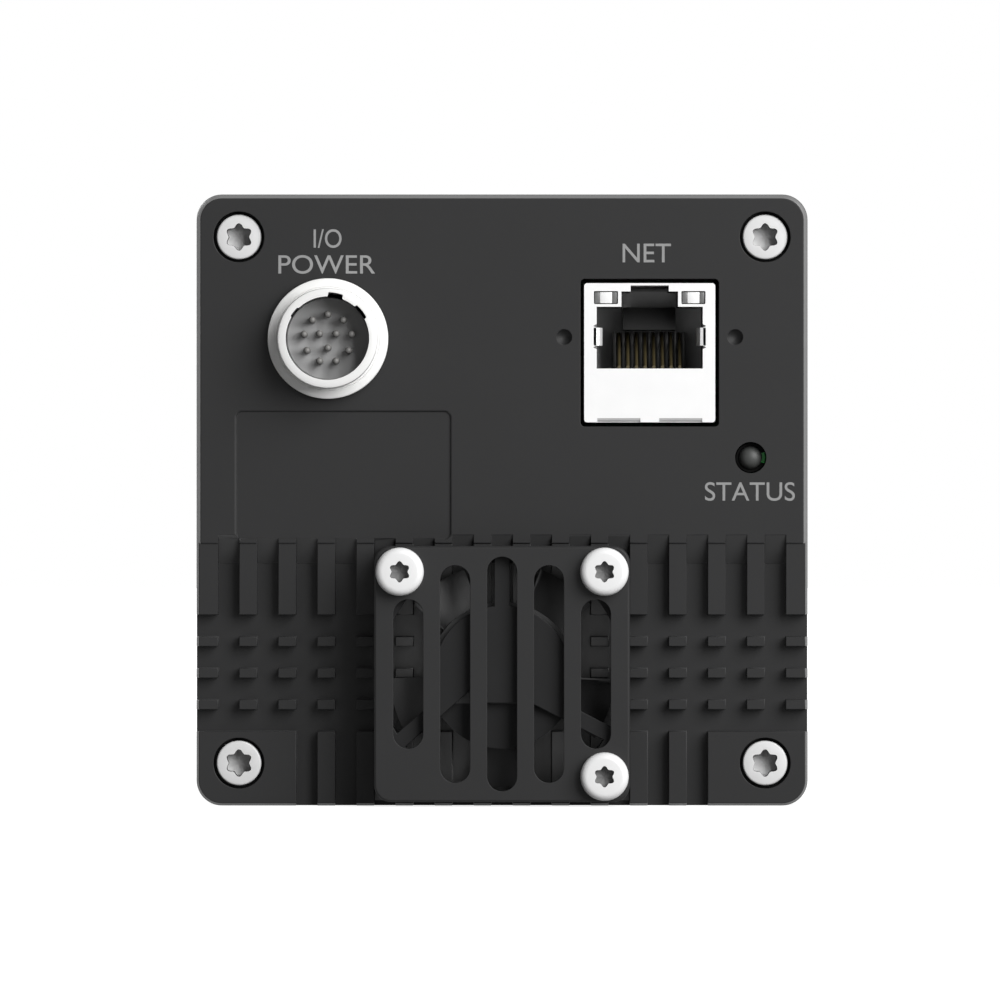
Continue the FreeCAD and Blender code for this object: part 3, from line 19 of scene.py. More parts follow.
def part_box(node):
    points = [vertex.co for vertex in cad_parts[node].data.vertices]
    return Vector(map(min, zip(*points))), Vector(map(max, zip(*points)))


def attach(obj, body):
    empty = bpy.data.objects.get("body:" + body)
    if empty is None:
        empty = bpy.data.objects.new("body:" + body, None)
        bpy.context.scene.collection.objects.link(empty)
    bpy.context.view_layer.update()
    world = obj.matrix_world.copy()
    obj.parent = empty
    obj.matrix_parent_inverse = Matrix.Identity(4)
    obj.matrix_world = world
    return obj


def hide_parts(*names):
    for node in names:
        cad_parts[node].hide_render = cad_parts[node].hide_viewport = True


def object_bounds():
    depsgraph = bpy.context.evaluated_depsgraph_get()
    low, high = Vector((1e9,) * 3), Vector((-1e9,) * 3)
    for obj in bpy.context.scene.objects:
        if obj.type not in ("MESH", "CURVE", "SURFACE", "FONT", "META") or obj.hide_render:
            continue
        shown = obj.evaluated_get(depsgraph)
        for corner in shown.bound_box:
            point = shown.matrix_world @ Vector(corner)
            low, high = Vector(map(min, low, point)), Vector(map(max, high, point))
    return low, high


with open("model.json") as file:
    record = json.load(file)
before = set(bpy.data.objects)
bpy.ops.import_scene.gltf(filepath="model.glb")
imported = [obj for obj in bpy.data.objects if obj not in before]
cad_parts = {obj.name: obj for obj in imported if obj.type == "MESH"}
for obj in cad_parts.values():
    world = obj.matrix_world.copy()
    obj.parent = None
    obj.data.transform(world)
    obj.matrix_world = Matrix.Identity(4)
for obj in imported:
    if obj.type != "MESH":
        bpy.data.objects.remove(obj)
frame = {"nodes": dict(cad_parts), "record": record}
CAD_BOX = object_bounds()
LOG = logging.getLogger("camera")

MM = 0.001
# Vertices of a solid nearer than WELD are one, and those of a new mesh nearer than DOUBLE. A cut
# takes vertices within CUT_REACH as lying on it.
WELD = 0.002 * MM
DOUBLE = WELD / 4
CUT_REACH = 1e-7
# A face is level if its normal's Y part is larger than LEVEL. Faces that turn less than
# FLAT_ANGLE are one, and an edge that turns more than HARD_ANGLE is softened.
LEVEL = 0.9999
FLAT_ANGLE = math.radians(0.3)
HARD_ANGLE = math.radians(30)
BEVEL_STEPS = 2
ACROSS, UP = Vector((1, 0, 0)), Vector((0, 0, 1))
SIDES = (-1, 1)
Colour = tuple[float, float, float]
Point = tuple[float, float]
Row = tuple[float, float]


class Body(Enum):
    """The bodies that pieces ride on."""

    CAMERA = "camera"
    ROTOR = "rotor"


class NodeTree:
    """A node tree while it is being put together, for a material or for geometry."""

    def __init__(self, tree: bpy.types.NodeTree) -> None:
        """Start with an empty tree."""
        self.tree = tree
        self.tree.nodes.clear()

    def node(self, kind: str, inputs: Optional[dict] = None, **settings: Any) -> bpy.types.Node:
        """Add a node.

        Args:
            kind: The node's type.
            inputs: What its sockets hold or are linked to, by name or number.
            settings: Its own properties, which are set first.

        Returns:
            The new node.
        """
        made = self.tree.nodes.new(kind)
        for name, value in settings.items():
            setattr(made, name, value)
        for key, value in (inputs or {}).items():
            self.feed(made.inputs[key], value)
        return made

    def feed(self, socket: bpy.types.NodeSocket, value: Any) -> None:
        """Link a socket to another socket, or give it a plain value."""
        if isinstance(value, Term):
            value = value.socket
        if isinstance(value, bpy.types.NodeSocket):
            self.tree.links.new(value, socket)
        else:
            socket.default_value = value


class Term:
    """A number in a node tree, as a socket that takes part in Python expressions."""

    def __init__(self, tree: NodeTree, socket: bpy.types.NodeSocket) -> None:
        """Wrap a socket of the tree."""
        self.tree = tree
        self.socket = socket

    def _join(self, operation: str, first: Any, second: Any) -> "Term":
        """A Math node on two values, as a term."""
        made = self.tree.node("ShaderNodeMath", {0: first, 1: second}, operation=operation)
        return Term(self.tree, made.outputs[0])

    def __add__(self, other: Any) -> "Term":
        """self + other."""
        return self._join("ADD", self, other)

    def __sub__(self, other: Any) -> "Term":
        """self - other."""
        return self._join("SUBTRACT", self, other)

    def __rsub__(self, other: Any) -> "Term":
        """other - self."""
        return self._join("SUBTRACT", other, self)

    def __mul__(self, other: Any) -> "Term":
        """self * other."""
        return self._join("MULTIPLY", self, other)

    def at_least(self, other: Any) -> "Term":
        """The larger of the two."""
        return self._join("MAXIMUM", self, other)


class Paint(NodeTree):
    """A material's node tree, with the patterns that the finishes share."""

    def __init__(self, name: str) -> None:
        """Start a material of that name."""
        self.material = bpy.data.materials.new(name)
        self.material.use_nodes = True
        super().__init__(self.material.node_tree)
        self.place = self.node("ShaderNodeTexCoord").outputs["Object"]

    def noise(self, size: float, detail: float = 2.0, stretch: Vector = Vector((1, 1, 1))) -> Term:
        """Cloudy noise from 0 to 1.

        Args:
            size: The width of one patch.
            detail: How many finer layers lie over it.
            stretch: How much denser the pattern is along each axis.

        Returns:
            The noise.
        """
        mapped = self.node("ShaderNodeMapping", {"Vector": self.place, "Scale": stretch / size})
        made = self.node("ShaderNodeTexNoise",
                         {"Vector": mapped.outputs[0], "Scale": 1.0, "Detail": detail})
        return Term(self, made.outputs["Fac"])

    def length(self, vector: bpy.types.NodeSocket) -> Term:
        """The length of a vector."""
        made = self.node("ShaderNodeVectorMath", {0: vector}, operation="LENGTH")
        return Term(self, made.outputs["Value"])

    def rings(self, centre: Vector, pitch: float) -> Term:
        """Turning marks round a line along Y.

        Args:
            centre: A point on the line.
            pitch: The distance between two marks.

        Returns:
            Noise from 0 to 1 that changes only with the distance from the line.
        """
        moved = self.node("ShaderNodeVectorMath",
                          {0: self.place, 1: Vector((centre.x, 0, centre.z))},
                          operation="SUBTRACT")
        flat = self.node("ShaderNodeVectorMath", {0: moved.outputs[0], 1: ACROSS + UP},
                         operation="MULTIPLY")
        distance = self.length(flat.outputs[0]) * (1 / pitch)
        made = self.node("ShaderNodeTexNoise", {"W": distance, "Scale": 1.0, "Detail": 1.0},
                         noise_dimensions="1D")
        return Term(self, made.outputs["Fac"])

    def blend(self, mask: Term, first: Colour, second: Colour) -> bpy.types.NodeSocket:
        """A colour between two, by a mask from 0 to 1."""
        made = self.node("ShaderNodeMix", {"Factor": mask, 6: (*first, 1.0), 7: (*second, 1.0)},
                         data_type="RGBA")
        return made.outputs[2]

    def tones(self, mask: Term, colour: Colour, low: float,
              high: float = 1.0) -> bpy.types.NodeSocket:
        """A colour between two shares of itself, by a mask from 0 to 1."""
        return self.blend(mask, *(tuple(part * share for part in colour) for share in (low, high)))

    def steps(self, mask: Term, low: float, high: float) -> Term:
        """A mask that goes from 0 at low to 1 at high."""
        made = self.node("ShaderNodeMapRange", {"Value": mask, "From Min": low, "From Max": high},
                         clamp=True)
        return Term(self, made.outputs[0])

    def bump(self, height: Term, depth: float, strength: float) -> bpy.types.NodeSocket:
        """A normal from a height between 0 and 1, for relief of that depth."""
        made = self.node("ShaderNodeBump",
                         {"Height": height, "Distance": depth, "Strength": strength})
        return made.outputs[0]

    def close(self, sockets: dict) -> bpy.types.Material:
        """Add the Principled shader, whose sockets hold these, and give the material."""
        shader = self.node("ShaderNodeBsdfPrincipled", sockets)
        self.node("ShaderNodeOutputMaterial", {"Surface": shader.outputs[0]})
        return self.material


def grey(level: float) -> Colour:
    """A neutral colour."""
    return (level, level, level)


@dataclass(frozen=True)
class Grained:
    """A matt surface, a little cloudy, with a fine grain."""

    colour: Colour
    roughness: float = 0.5
    specular: float = 0.4
    grain: float = 0.08 * MM
    relief: float = 0.005 * MM
    strength: float = 0.5
    cloud: float = 4 * MM
    cloud_detail: float = 2.0
    cloud_share: float = 0.7
    tone: float = 0.1
    unevenness: float = 0.14

    def paint(self, name: str) -> bpy.types.Material:
        """The finish as a material of that name."""
        paint = Paint(name)
        grain = paint.noise(self.grain)
        cloud = paint.noise(self.cloud, self.cloud_detail)
        mask = cloud * self.cloud_share + grain * (1 - self.cloud_share)
        return paint.close({
            "Base Color": paint.tones(mask, self.colour, 1 - self.tone, 1 + self.tone),
            "Roughness": grain * self.unevenness + (self.roughness - self.unevenness / 2),
            "Specular IOR Level": self.specular,
            "Normal": paint.bump(grain, self.relief, self.strength),
        })


@dataclass(frozen=True)
class Moulded(Grained):
    """Moulded plastic or rubber with a spark eroded texture."""


@dataclass(frozen=True)
class Anodised(Grained):
    """Blasted and anodised aluminium."""

    colour: Colour = (0.018, 0.018, 0.0184)
    specular: float = 0.25
    grain: float = 0.1 * MM
    relief: float = 0.004 * MM
    strength: float = 0.6
    cloud: float = 9 * MM
    cloud_detail: float = 3.0
    cloud_share: float = 0.6
    tone: float = 0.12
    unevenness: float = 0.16


@dataclass(frozen=True)
class Plated:
    """Bright plated or polished metal with faint wear and fine scratches."""

    colour: Colour
    roughness: float
    metallic: float
    cloud: float = 3 * MM
    cloud_wear: float = 0.06
    scratch: float = 0.6 * MM
    scratch_wear: float = 0.14
    stretch: Vector = Vector((6, 1, 1))
    detail: float = 3.0
    tone: float = 0.96
    relief: float = 0.003 * MM
    strength: float = 0.4

    def paint(self, name: str) -> bpy.types.Material:
        """The finish as a material of that name."""
        paint = Paint(name)
        cloud = paint.noise(self.cloud, self.detail)
        scratch = paint.noise(self.scratch, self.detail, self.stretch)
        least = self.roughness - (self.scratch_wear + self.cloud_wear) / 2
        return paint.close({
            "Base Color": paint.tones(cloud, self.colour, self.tone),
            "Roughness": scratch * self.scratch_wear + cloud * self.cloud_wear + least,
            "Metallic": self.metallic,
            "Normal": paint.bump(scratch, self.relief, self.strength),
        })


@dataclass(frozen=True)
class Turned:
    """Metal turned on a lathe, with marks round the axis of the piece."""

    centre: Vector
    colour: Colour
    roughness: float
    metallic: float
    pitch: float = 0.05 * MM
    cloud: float = 4 * MM
    ring_share: float = 0.5
    tone: float = 0.94
    unevenness: float = 0.12
    relief: float = 0.002 * MM
    strength: float = 0.5

    def paint(self, name: str) -> bpy.types.Material:
        """The finish as a material of that name."""
        paint = Paint(name)
        rings = paint.rings(self.centre, self.pitch)
        mask = rings * self.ring_share + paint.noise(self.cloud) * (1 - self.ring_share)
        return paint.close({
            "Base Color": paint.tones(mask, self.colour, self.tone),
            "Roughness": rings * self.unevenness + (self.roughness - self.unevenness / 2),
            "Metallic": self.metallic,
            "Normal": paint.bump(rings, self.relief, self.strength),
        })


@dataclass(frozen=True)
class Laminate:
    """A circuit board: solder mask over copper tracks, with its glass weave."""

    colour: Colour = (0.012, 0.07, 0.035)
    track: float = 1.2 * MM
    track_edge: tuple[float, float] = (0.1, 0.14)
    track_tone: float = 1.9
    weave: float = 0.4 * MM
    stretch: Vector = Vector((3, 1, 1))
    roughness: float = 0.3
    unevenness: float = 0.12
    relief: float = 0.02 * MM
    strength: float = 0.4

    def paint(self, name: str) -> bpy.types.Material:
        """The finish as a material of that name."""
        paint = Paint(name)
        tracks = paint.node("ShaderNodeTexVoronoi",
                            {"Vector": paint.place, "Scale": 1 / self.track},
                            feature="DISTANCE_TO_EDGE", distance="CHEBYCHEV")
        line = paint.steps(Term(paint, tracks.outputs["Distance"]), *self.track_edge)
        weave = paint.noise(self.weave, 1.0, self.stretch)
        return paint.close({
            "Base Color": paint.tones(line, self.colour, self.track_tone),
            "Roughness": weave * self.unevenness + self.roughness,
            "Normal": paint.bump(1 - line, self.relief, self.strength),
        })


@dataclass(frozen=True)
class Clear:
    """Coated glass, faintly smeared."""

    colour: Colour = (0.95, 0.97, 0.97)
    roughness: float = 0.05
    unevenness: float = 0.06
    index: float = 1.5
    smear: float = 2.5 * MM
    smear_detail: float = 3.0
    tone: float = 0.97

    def paint(self, name: str) -> bpy.types.Material:
        """The finish as a material of that name."""
        paint = Paint(name)
        smear = paint.noise(self.smear, self.smear_detail)
        return paint.close({
            "Base Color": paint.tones(smear, self.colour, self.tone),
            "Roughness": smear * self.unevenness + self.roughness,
            "IOR": self.index,
            "Transmission Weight": 1.0,
        })


@dataclass(frozen=True)
class Silicon:
    """An image sensor's face, whose pixel rows split the light into faint colour."""

    first: Colour = (0.02, 0.045, 0.05)
    second: Colour = (0.05, 0.03, 0.06)
    cloud: float = 14 * MM
    cloud_stretch: Vector = Vector((1, 1, 0.3))
    cloud_edge: tuple[float, float] = (0.3, 0.7)
    row: float = 0.05 * MM
    row_stretch: Vector = Vector((1, 1, 6))
    roughness: float = 0.12
    unevenness: float = 0.1
    metallic: float = 0.7
    relief: float = 0.001 * MM
    strength: float = 0.3

    def paint(self, name: str) -> bpy.types.Material:
        """The finish as a material of that name."""
        paint = Paint(name)
        across = paint.noise(self.cloud, 1.0, self.cloud_stretch)
        rows = paint.noise(self.row, 0.0, self.row_stretch)
        mask = paint.steps(across, *self.cloud_edge)
        return paint.close({
            "Base Color": paint.blend(mask, self.first, self.second),
            "Roughness": rows * self.unevenness + self.roughness,
            "Metallic": self.metallic,
            "Normal": paint.bump(rows, self.relief, self.strength),
        })


@dataclass(frozen=True)
class Wound:
    """Enamelled copper wire, wound side by side."""

    colour: Colour = (0.5, 0.2, 0.08)
    wire: float = 0.16 * MM
    waves: float = 0.1
    distortion: float = 0.4
    tone: float = 0.35
    roughness: float = 0.25
    unevenness: float = 0.1
    metallic: float = 0.8
    relief: float = 0.06 * MM
    strength: float = 0.8

    def paint(self, name: str) -> bpy.types.Material:
        """The finish as a material of that name."""
        paint = Paint(name)
        wave = paint.node("ShaderNodeTexWave",
                          {"Vector": paint.place, "Scale": self.waves / self.wire,
                           "Distortion": self.distortion}, bands_direction="DIAGONAL")
        wire = Term(paint, wave.outputs["Fac"])
        return paint.close({
            "Base Color": paint.tones(wire, self.colour, self.tone),
            "Roughness": wire * self.unevenness + self.roughness,
            "Metallic": self.metallic,
            "Normal": paint.bump(wire, self.relief, self.strength),
        })


def put(name: str, data: bpy.types.ID) -> bpy.types.Object:
    """A new object in the scene."""
    made = bpy.data.objects.new(name, data)
    bpy.context.scene.collection.objects.link(made)
    return made


def absorb(bm: bmesh.types.BMesh, part: bpy.types.Object) -> None:
    """Add an object's mesh to a bmesh, and remove the object."""
    bm.from_mesh(part.data)
    bpy.data.objects.remove(part)


def no_turn(turn: float, radius: float) -> float:
    """A round section: the radius is the same in every direction."""
    return radius


def mesh_piece(name: str, bm: bmesh.types.BMesh, materials: Sequence[bpy.types.Material],
               crease: float = 40.0) -> bpy.types.Object:
    """Turn a bmesh into an object, smooth apart from its sharp edges.

    Args:
        name: The object's name.
        bm: The mesh, which is used up.
        materials: Its materials, in the order of the faces' indices.
        crease: The least angle of an edge that stays sharp, in degrees.

    Returns:
        The new object.
    """
    for face in bm.faces:
        face.smooth = True
    for edge in bm.edges:
        edge.smooth = edge.is_manifold and edge.calc_face_angle(0.0) < math.radians(crease)
    mesh = bpy.data.meshes.new(name)
    bm.to_mesh(mesh)
    bm.free()
    for material in materials:
        mesh.materials.append(material)
    return put(name, mesh)


def plain(source: bpy.types.Object, name: str) -> bpy.types.Object:
    """A plain mesh of what an object shows, in place of the object.

    Args:
        source: The object with its modifiers or curves, which is removed.
        name: The new object's name.

    Returns:
        The new object.
    """
    bpy.context.view_layer.update()
    graph = bpy.context.evaluated_depsgraph_get()
    mesh = bpy.data.meshes.new_from_object(source.evaluated_get(graph), depsgraph=graph)
    bpy.data.objects.remove(source)
    mesh.name = name
    return put(name, mesh)


def turned_mesh(bm: bmesh.types.BMesh, rows: Sequence[Row], steps: int,
                section: Callable[[float, float], float] = no_turn, material: int = 0) -> None:
    """Turn a profile round the local Y axis, towards -Y.

    Args:
        bm: The mesh that it is added to.
        rows: Heights and radii. A radius of 0 closes the surface at a pole.
        steps: The number of steps round.
        section: The radius in a direction, from the angle and the profile's radius.
        material: The faces' material index.
    """
    rings = []
    for height, radius in rows:
        if radius <= 0:
            rings.append([bm.verts.new((0, -height, 0))] * steps)
            continue
        ring = []
        for i in range(steps):
            turn = 2 * math.pi * i / steps
            reach = section(turn, radius)
            ring.append(bm.verts.new((reach * math.cos(turn), -height, reach * math.sin(turn))))
        rings.append(ring)
    for low, high in zip(rings, rings[1:]):
        for i in range(steps):
            k = (i + 1) % steps
            corners = []
            for vertex in (low[i], low[k], high[k], high[i]):
                if vertex not in corners:
                    corners.append(vertex)
            if len(corners) > 2:
                bm.faces.new(corners).material_index = material


def settle(bm: bmesh.types.BMesh, place: Vector) -> bmesh.types.BMesh:
    """Merge a mesh's doubles, point its faces outwards and move it to its place."""
    bmesh.ops.remove_doubles(bm, verts=bm.verts, dist=DOUBLE)
    bmesh.ops.recalc_face_normals(bm, faces=bm.faces)
    bmesh.ops.translate(bm, verts=bm.verts, vec=place)
    return bm


def block(bm: bmesh.types.BMesh, low: Vector, high: Vector, round_off: float,
          material: int = 0) -> None:
    """Add a box between two corners, with rounded edges.

    Args:
        bm: The mesh that it is added to.
        low: Its lowest corner.
        high: Its highest corner.
        round_off: The radius of its edges.
        material: The faces' material index.
    """
    part = bmesh.new()
    bmesh.ops.create_cube(part, size=1.0)
    bmesh.ops.scale(part, verts=part.verts, vec=high - low)
    bmesh.ops.translate(part, verts=part.verts, vec=(high + low) / 2)
    bmesh.ops.bevel(part, geom=part.edges[:], offset=round_off, segments=BEVEL_STEPS,
                    profile=0.5, affect="EDGES")
    for face in part.faces:
        face.material_index = material
    mesh = bpy.data.meshes.new("block")
    part.to_mesh(mesh)
    part.free()
    bm.from_mesh(mesh)
    bpy.data.meshes.remove(mesh)


def join(bm: bmesh.types.BMesh, first: Sequence[bmesh.types.BMVert],
         second: Sequence[bmesh.types.BMVert]) -> list[bmesh.types.BMFace]:
    """Join two closed loops of the same number of vertices."""
    count = len(first)
    return [bm.faces.new((first[i], first[(i + 1) % count], second[(i + 1) % count], second[i]))
            for i in range(count)]


def draw(curve: bpy.types.Curve, places: Sequence[tuple[float, float, float]],
         cyclic: bool = False) -> None:
    """Add a line through places to a curve, closed or open."""
    spline = curve.splines.new("POLY")
    spline.points.add(len(places) - 1)
    spline.use_cyclic_u = cyclic
    for point, place in zip(spline.points, places):
        point.co = (*place, 1)


def outline_plate(name: str, outlines: Sequence[Sequence[Point]],
                  thickness: float) -> bpy.types.Object:
    """A flat plate in the XZ plane with holes, grown equally to both sides.

    Args:
        name: The object's name.
        outlines: The outer outline and the holes, as X and Z.
        thickness: The plate's thickness.

    Returns:
        The plate as a plain mesh.
    """
    curve = bpy.data.curves.new(name, "CURVE")
    curve.dimensions = "2D"
    curve.fill_mode = "BOTH"
    curve.extrude = thickness / 2
    for outline in outlines:
        draw(curve, [(x, z, 0) for x, z in outline], True)
    made = plain(put(name, curve), name)
    made.data.transform(Matrix.Rotation(math.radians(90), 4, "X"))
    return made


def arc_points(x: float, z: float, radius: float, start: float, end: float,
               steps: int) -> list[Point]:
    """Points on an arc about x, z, from one angle to another in degrees."""
    turns = [math.radians(start + (end - start) * i / steps) for i in range(steps + 1)]
    return [(x + radius * math.cos(turn), z + radius * math.sin(turn)) for turn in turns]


def quarter(steps: int) -> list[float]:
    """The angles from 0 to a right angle in even steps."""
    return [math.radians(90 / steps * i) for i in range(steps + 1)]


def rounded_outline(low: Point, high: Point, radius: float, steps: int = 5) -> list[Point]:
    """A rectangle's outline with round corners."""
    corners = ((high[0] - radius, high[1] - radius, 0), (low[0] + radius, high[1] - radius, 90),
               (low[0] + radius, low[1] + radius, 180), (high[0] - radius, low[1] + radius, 270))
    return [point for x, z, start in corners
            for point in arc_points(x, z, radius, start, start + 90, steps)]


class GrowthTree(NodeTree):
    """A Geometry Nodes tree that makes or repeats a piece, and the modifier that runs it."""

    def __init__(self, name: str, **inputs: str) -> None:
        """Start a tree with points, a piece, a finish and further inputs of the given kinds."""
        self.group = bpy.data.node_groups.new(name, "GeometryNodeTree")
        super().__init__(self.group)
        sockets = self.group.interface
        sockets.new_socket("Geometry", in_out="OUTPUT", socket_type="NodeSocketGeometry")
        inputs = {"Points": "Geometry", "Piece": "Object", "Finish": "Material", **inputs}
        for title, kind in inputs.items():
            sockets.new_socket(title, in_out="INPUT", socket_type=f"NodeSocket{kind}")
        self.given = self.node("NodeGroupInput").outputs

    def repeat(self, points: bpy.types.NodeSocket, **turn: bpy.types.NodeSocket) -> bpy.types.Node:
        """The piece on each point, turned by Rotation if that is given."""
        piece = self.node("GeometryNodeObjectInfo", {"Object": self.given["Piece"]})
        return self.node("GeometryNodeInstanceOnPoints",
                         {"Points": points, "Instance": piece.outputs["Geometry"], **turn})

    def end(self, shape: bpy.types.Node, move: Optional[bpy.types.NodeSocket] = None) -> None:
        """Make the shape's instances real, move them and give them their finish."""
        real = self.node("GeometryNodeRealizeInstances", {"Geometry": shape.outputs[0]})
        if move is not None:
            real = self.node("GeometryNodeTransform",
                             {"Geometry": real.outputs[0], "Translation": move})
        coated = self.node("GeometryNodeSetMaterial",
                           {"Geometry": real.outputs[0], "Material": self.given["Finish"]})
        self.node("NodeGroupOutput", {0: coated.outputs[0]})

    def run(self, name: str, points: Sequence[Vector] = (), **values: Any) -> bpy.types.Object:
        """Run the tree on points and keep the result as a plain mesh.

        Args:
            name: The new object's name.
            points: Where the pieces go, for a tree that uses points.
            values: The inputs' values.

        Returns:
            The plain mesh object.
        """
        mesh = bpy.data.meshes.new(name)
        mesh.from_pydata([tuple(point) for point in points], [], [])
        carrier = put(name, mesh)
        modifier = carrier.modifiers.new(name, "NODES")
        modifier.node_group = self.group
        for item in self.group.interface.items_tree:
            if item.item_type == "SOCKET" and item.in_out == "INPUT" and item.name in values:
                modifier[item.identifier] = values[item.name]
        made = plain(carrier, name)
        if "Piece" in values:
            bpy.data.objects.remove(values["Piece"])
        return made


def scatter_tree() -> GrowthTree:
    """A tree that sets the piece on each point as it stands."""
    tree = GrowthTree("set_on_points")
    tree.end(tree.repeat(tree.given["Points"]))
    return tree


def ring_tree() -> GrowthTree:
    """A tree that repeats the piece round the Y axis and moves the ring to its centre."""
    tree = GrowthTree("repeat_round", Count="Int", Start="Float", Centre="Vector")
    given = tree.given
    dots = tree.node("GeometryNodePoints", {"Count": given["Count"]})
    index = Term(tree, tree.node("GeometryNodeInputIndex").outputs[0])
    step = tree.node("ShaderNodeMath", {0: -2 * math.pi, 1: given["Count"]}, operation="DIVIDE")
    spin = tree.node("ShaderNodeCombineXYZ", {"Y": index * step.outputs[0] - given["Start"]})
    tree.end(tree.repeat(dots.outputs[0], Rotation=spin.outputs[0]), given["Centre"])
    return tree


def row_tree() -> GrowthTree:
    """A tree that repeats the piece along a line from a first place."""
    tree = GrowthTree("repeat_along", Count="Int", First="Vector", Step="Vector")
    given = tree.given
    line = tree.node("GeometryNodeMeshLine", {
        "Count": given["Count"], "Start Location": given["First"], "Offset": given["Step"]})
    tree.end(tree.repeat(line.outputs[0]))
    return tree


def thread_tree(steps: int = 96, corners: int = 4) -> GrowthTree:
    """A tree that sweeps a ridge of some corners along a helix round the Y axis."""
    tree = GrowthTree("thread_ridge", Turns="Float", Radius="Float", Pitch="Float",
                      Ridge="Float", Centre="Vector")
    given = tree.given
    turns, radius = Term(tree, given["Turns"]), given["Radius"]
    helix = tree.node("GeometryNodeCurveSpiral", {
        "Resolution": steps, "Rotations": turns, "Start Radius": radius, "End Radius": radius,
        "Height": turns * given["Pitch"]})
    ridge = tree.node("GeometryNodeCurvePrimitiveCircle",
                      {"Resolution": corners, "Radius": given["Ridge"]})
    swept = tree.node("GeometryNodeCurveToMesh", {
        "Curve": helix.outputs[0], "Profile Curve": ridge.outputs[0], "Fill Caps": True})
    turned = tree.node("GeometryNodeTransform", {
        "Geometry": swept.outputs[0], "Rotation": (math.radians(90), 0, 0)})
    tree.end(turned, given["Centre"])
    return tree


class FinishShelf:
    """The materials of the record's slots and of details, made when they are first asked for."""

    def __init__(self) -> None:
        """Set out the finishes by name."""
        self.finishes = {
            "housing_shell": Anodised(roughness=0.6, specular=0.16),
            "cover_block": Anodised(),
            "guard_plate": Anodised(grain=0.12 * MM),
            "mount_ring": Turned(Vector(), (0.62, 0.62, 0.63), 0.35, 0.8),
            "seal_rubber": Moulded(grey(0.018), 0.75, 0.3),
            "small_screws": Plated(grey(0.5), 0.35, 0.9),
            "bright_screws": Plated(grey(0.85), 0.4, 0.05),
            "mask_black": Moulded(grey(0.01), 0.85, 0.1),
            "ceramic": Moulded((0.16, 0.13, 0.11), 0.6),
            "sensor_silicon": Silicon(),
            "cover_glass": Clear(),
            "board_laminate": Laminate(),
            "spacer_brass": Plated((0.72, 0.58, 0.3), 0.3, 0.9),
            "chip_plastic": Moulded((0.022, 0.022, 0.024), 0.55),
            "connector_plastic": Moulded((0.05, 0.046, 0.042), 0.5),
            "pad_silicone": Moulded((0.32, 0.38, 0.46), 0.8),
            "coil_ferrite": Moulded((0.07, 0.07, 0.074), 0.6),
            "can_aluminium": Plated((0.75, 0.75, 0.76), 0.25, 0.9),
            "receptacle_shell": Turned(middle("io_shell"), (0.88, 0.88, 0.87), 0.4, 0.03),
            "insert_grey": Moulded(grey(0.54), 0.5, 0.3),
            "pin_metal": Plated((0.19, 0.187, 0.18), 0.5, 0.1),
            "shield_steel": Plated(grey(0.95), 0.35, 0.15),
            # Jack insert plastic, lighter than the ramp and comb as painted light in the deep port.
            "jack_plastic": Moulded(grey(0.06), 0.3, 1.0),
            "jack_ramp": Moulded(grey(0.02), 0.35, 0.8),
            "jack_comb": Moulded(grey(0.02), 0.4, 0.35),
            "gold_contacts": Plated((0.09, 0.072, 0.035), 0.35, 0.3),
            "light_windows": Moulded(grey(0.9), 0.25, 0.5),
            "status_lens": Moulded((0.055, 0.057, 0.055), 0.5, 0.4),
            # Dark ring round the status dome's foot, as painted shade.
            "status_bore_shade": Moulded(grey(0.005), 0.7, 0.1),
            "fan_plastic": Moulded((0.018, 0.018, 0.0184), 0.5, 0.12),
            "bearing_bronze": Plated((0.45, 0.28, 0.14), 0.4, 0.9),
            "core_steel": Plated((0.4, 0.4, 0.41), 0.35, 0.9),
            "coil_copper": Wound(),
            "rotor_plastic": Moulded((0.023, 0.023, 0.0234), 0.42, 0.5),
            "magnet_ferrite": Moulded((0.05, 0.048, 0.046), 0.65),
            "shaft_steel": Plated(grey(0.7), 0.2, 0.95),
            "fan_laminate": Moulded(grey(0.03), 0.4),
            # Chamfers: bare milled edges, made lighter still as a painted sheen of the bright
            # surround.
            "bright_edge": Plated(grey(0.25), 0.35, 0.5),
            # Screw recess walls, dark as painted shade.
            "recess_wall_shade": Plated(grey(0.06), 0.6, 0.0),
            # Receptacle bore walls, darkened as painted shade.
            "bore_shade": Moulded(grey(0.09), 0.5, 0.3),
            # Label recess slopes, lighter than the cover as a painted highlight.
            "milled_slope": Anodised((0.026, 0.026, 0.0265), 0.45),
            # Groove run outs, made lighter than the cover as painted light against their shade.
            "groove_slope": Anodised((0.049, 0.049, 0.0495)),
            # Cover faces behind the fan, made lighter as painted light in the fan's shade.
            "fan_well": Anodised((0.03, 0.03, 0.0305), 0.36, 0.9),
            "corner_screws": Plated(grey(0.72), 0.4, 0.05),
            "screw_recess": Plated(grey(0.8), 0.6, 0.0),
            # Fan screw recess floors, darker than the heads as painted shade.
            "fan_screw_recess_shade": Plated(grey(0.22), 0.5, 0.0),
            "print": Moulded(grey(0.29), 0.6, 0.3),
            # Green glint at the status dome's foot, painted.
            "status_green_glint": Moulded((0.06, 0.6, 0.12), 0.3),
            # Ends of the network light pipes, darker as painted shade.
            "light_ends_shade": Moulded(grey(0.16), 0.3),
            # Fold tabs of the shield, a darker copy of its steel as painted shade.
            "fold_steel_shaded": Plated(grey(0.6), 0.4, 0.1),
        }
        self.made: dict[str, bpy.types.Material] = {}

    def __getitem__(self, name: str) -> bpy.types.Material:
        """The material of that name."""
        if name not in self.made:
            self.made[name] = self.finishes[name].paint(name)
        return self.made[name]


def middle(node: str) -> Vector:
    """The centre of a node's box."""
    low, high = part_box(node)
    return (low + high) / 2


def seat(piece: bpy.types.Object, slot: str, body: Body, *nodes: str) -> None:
    """Put a finished piece on its body, for the nodes that it stands for."""
    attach(piece, body.value)
    if nodes:
        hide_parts(*nodes)
    LOG.info("%s: %d faces", piece.name, len(piece.data.polygons))


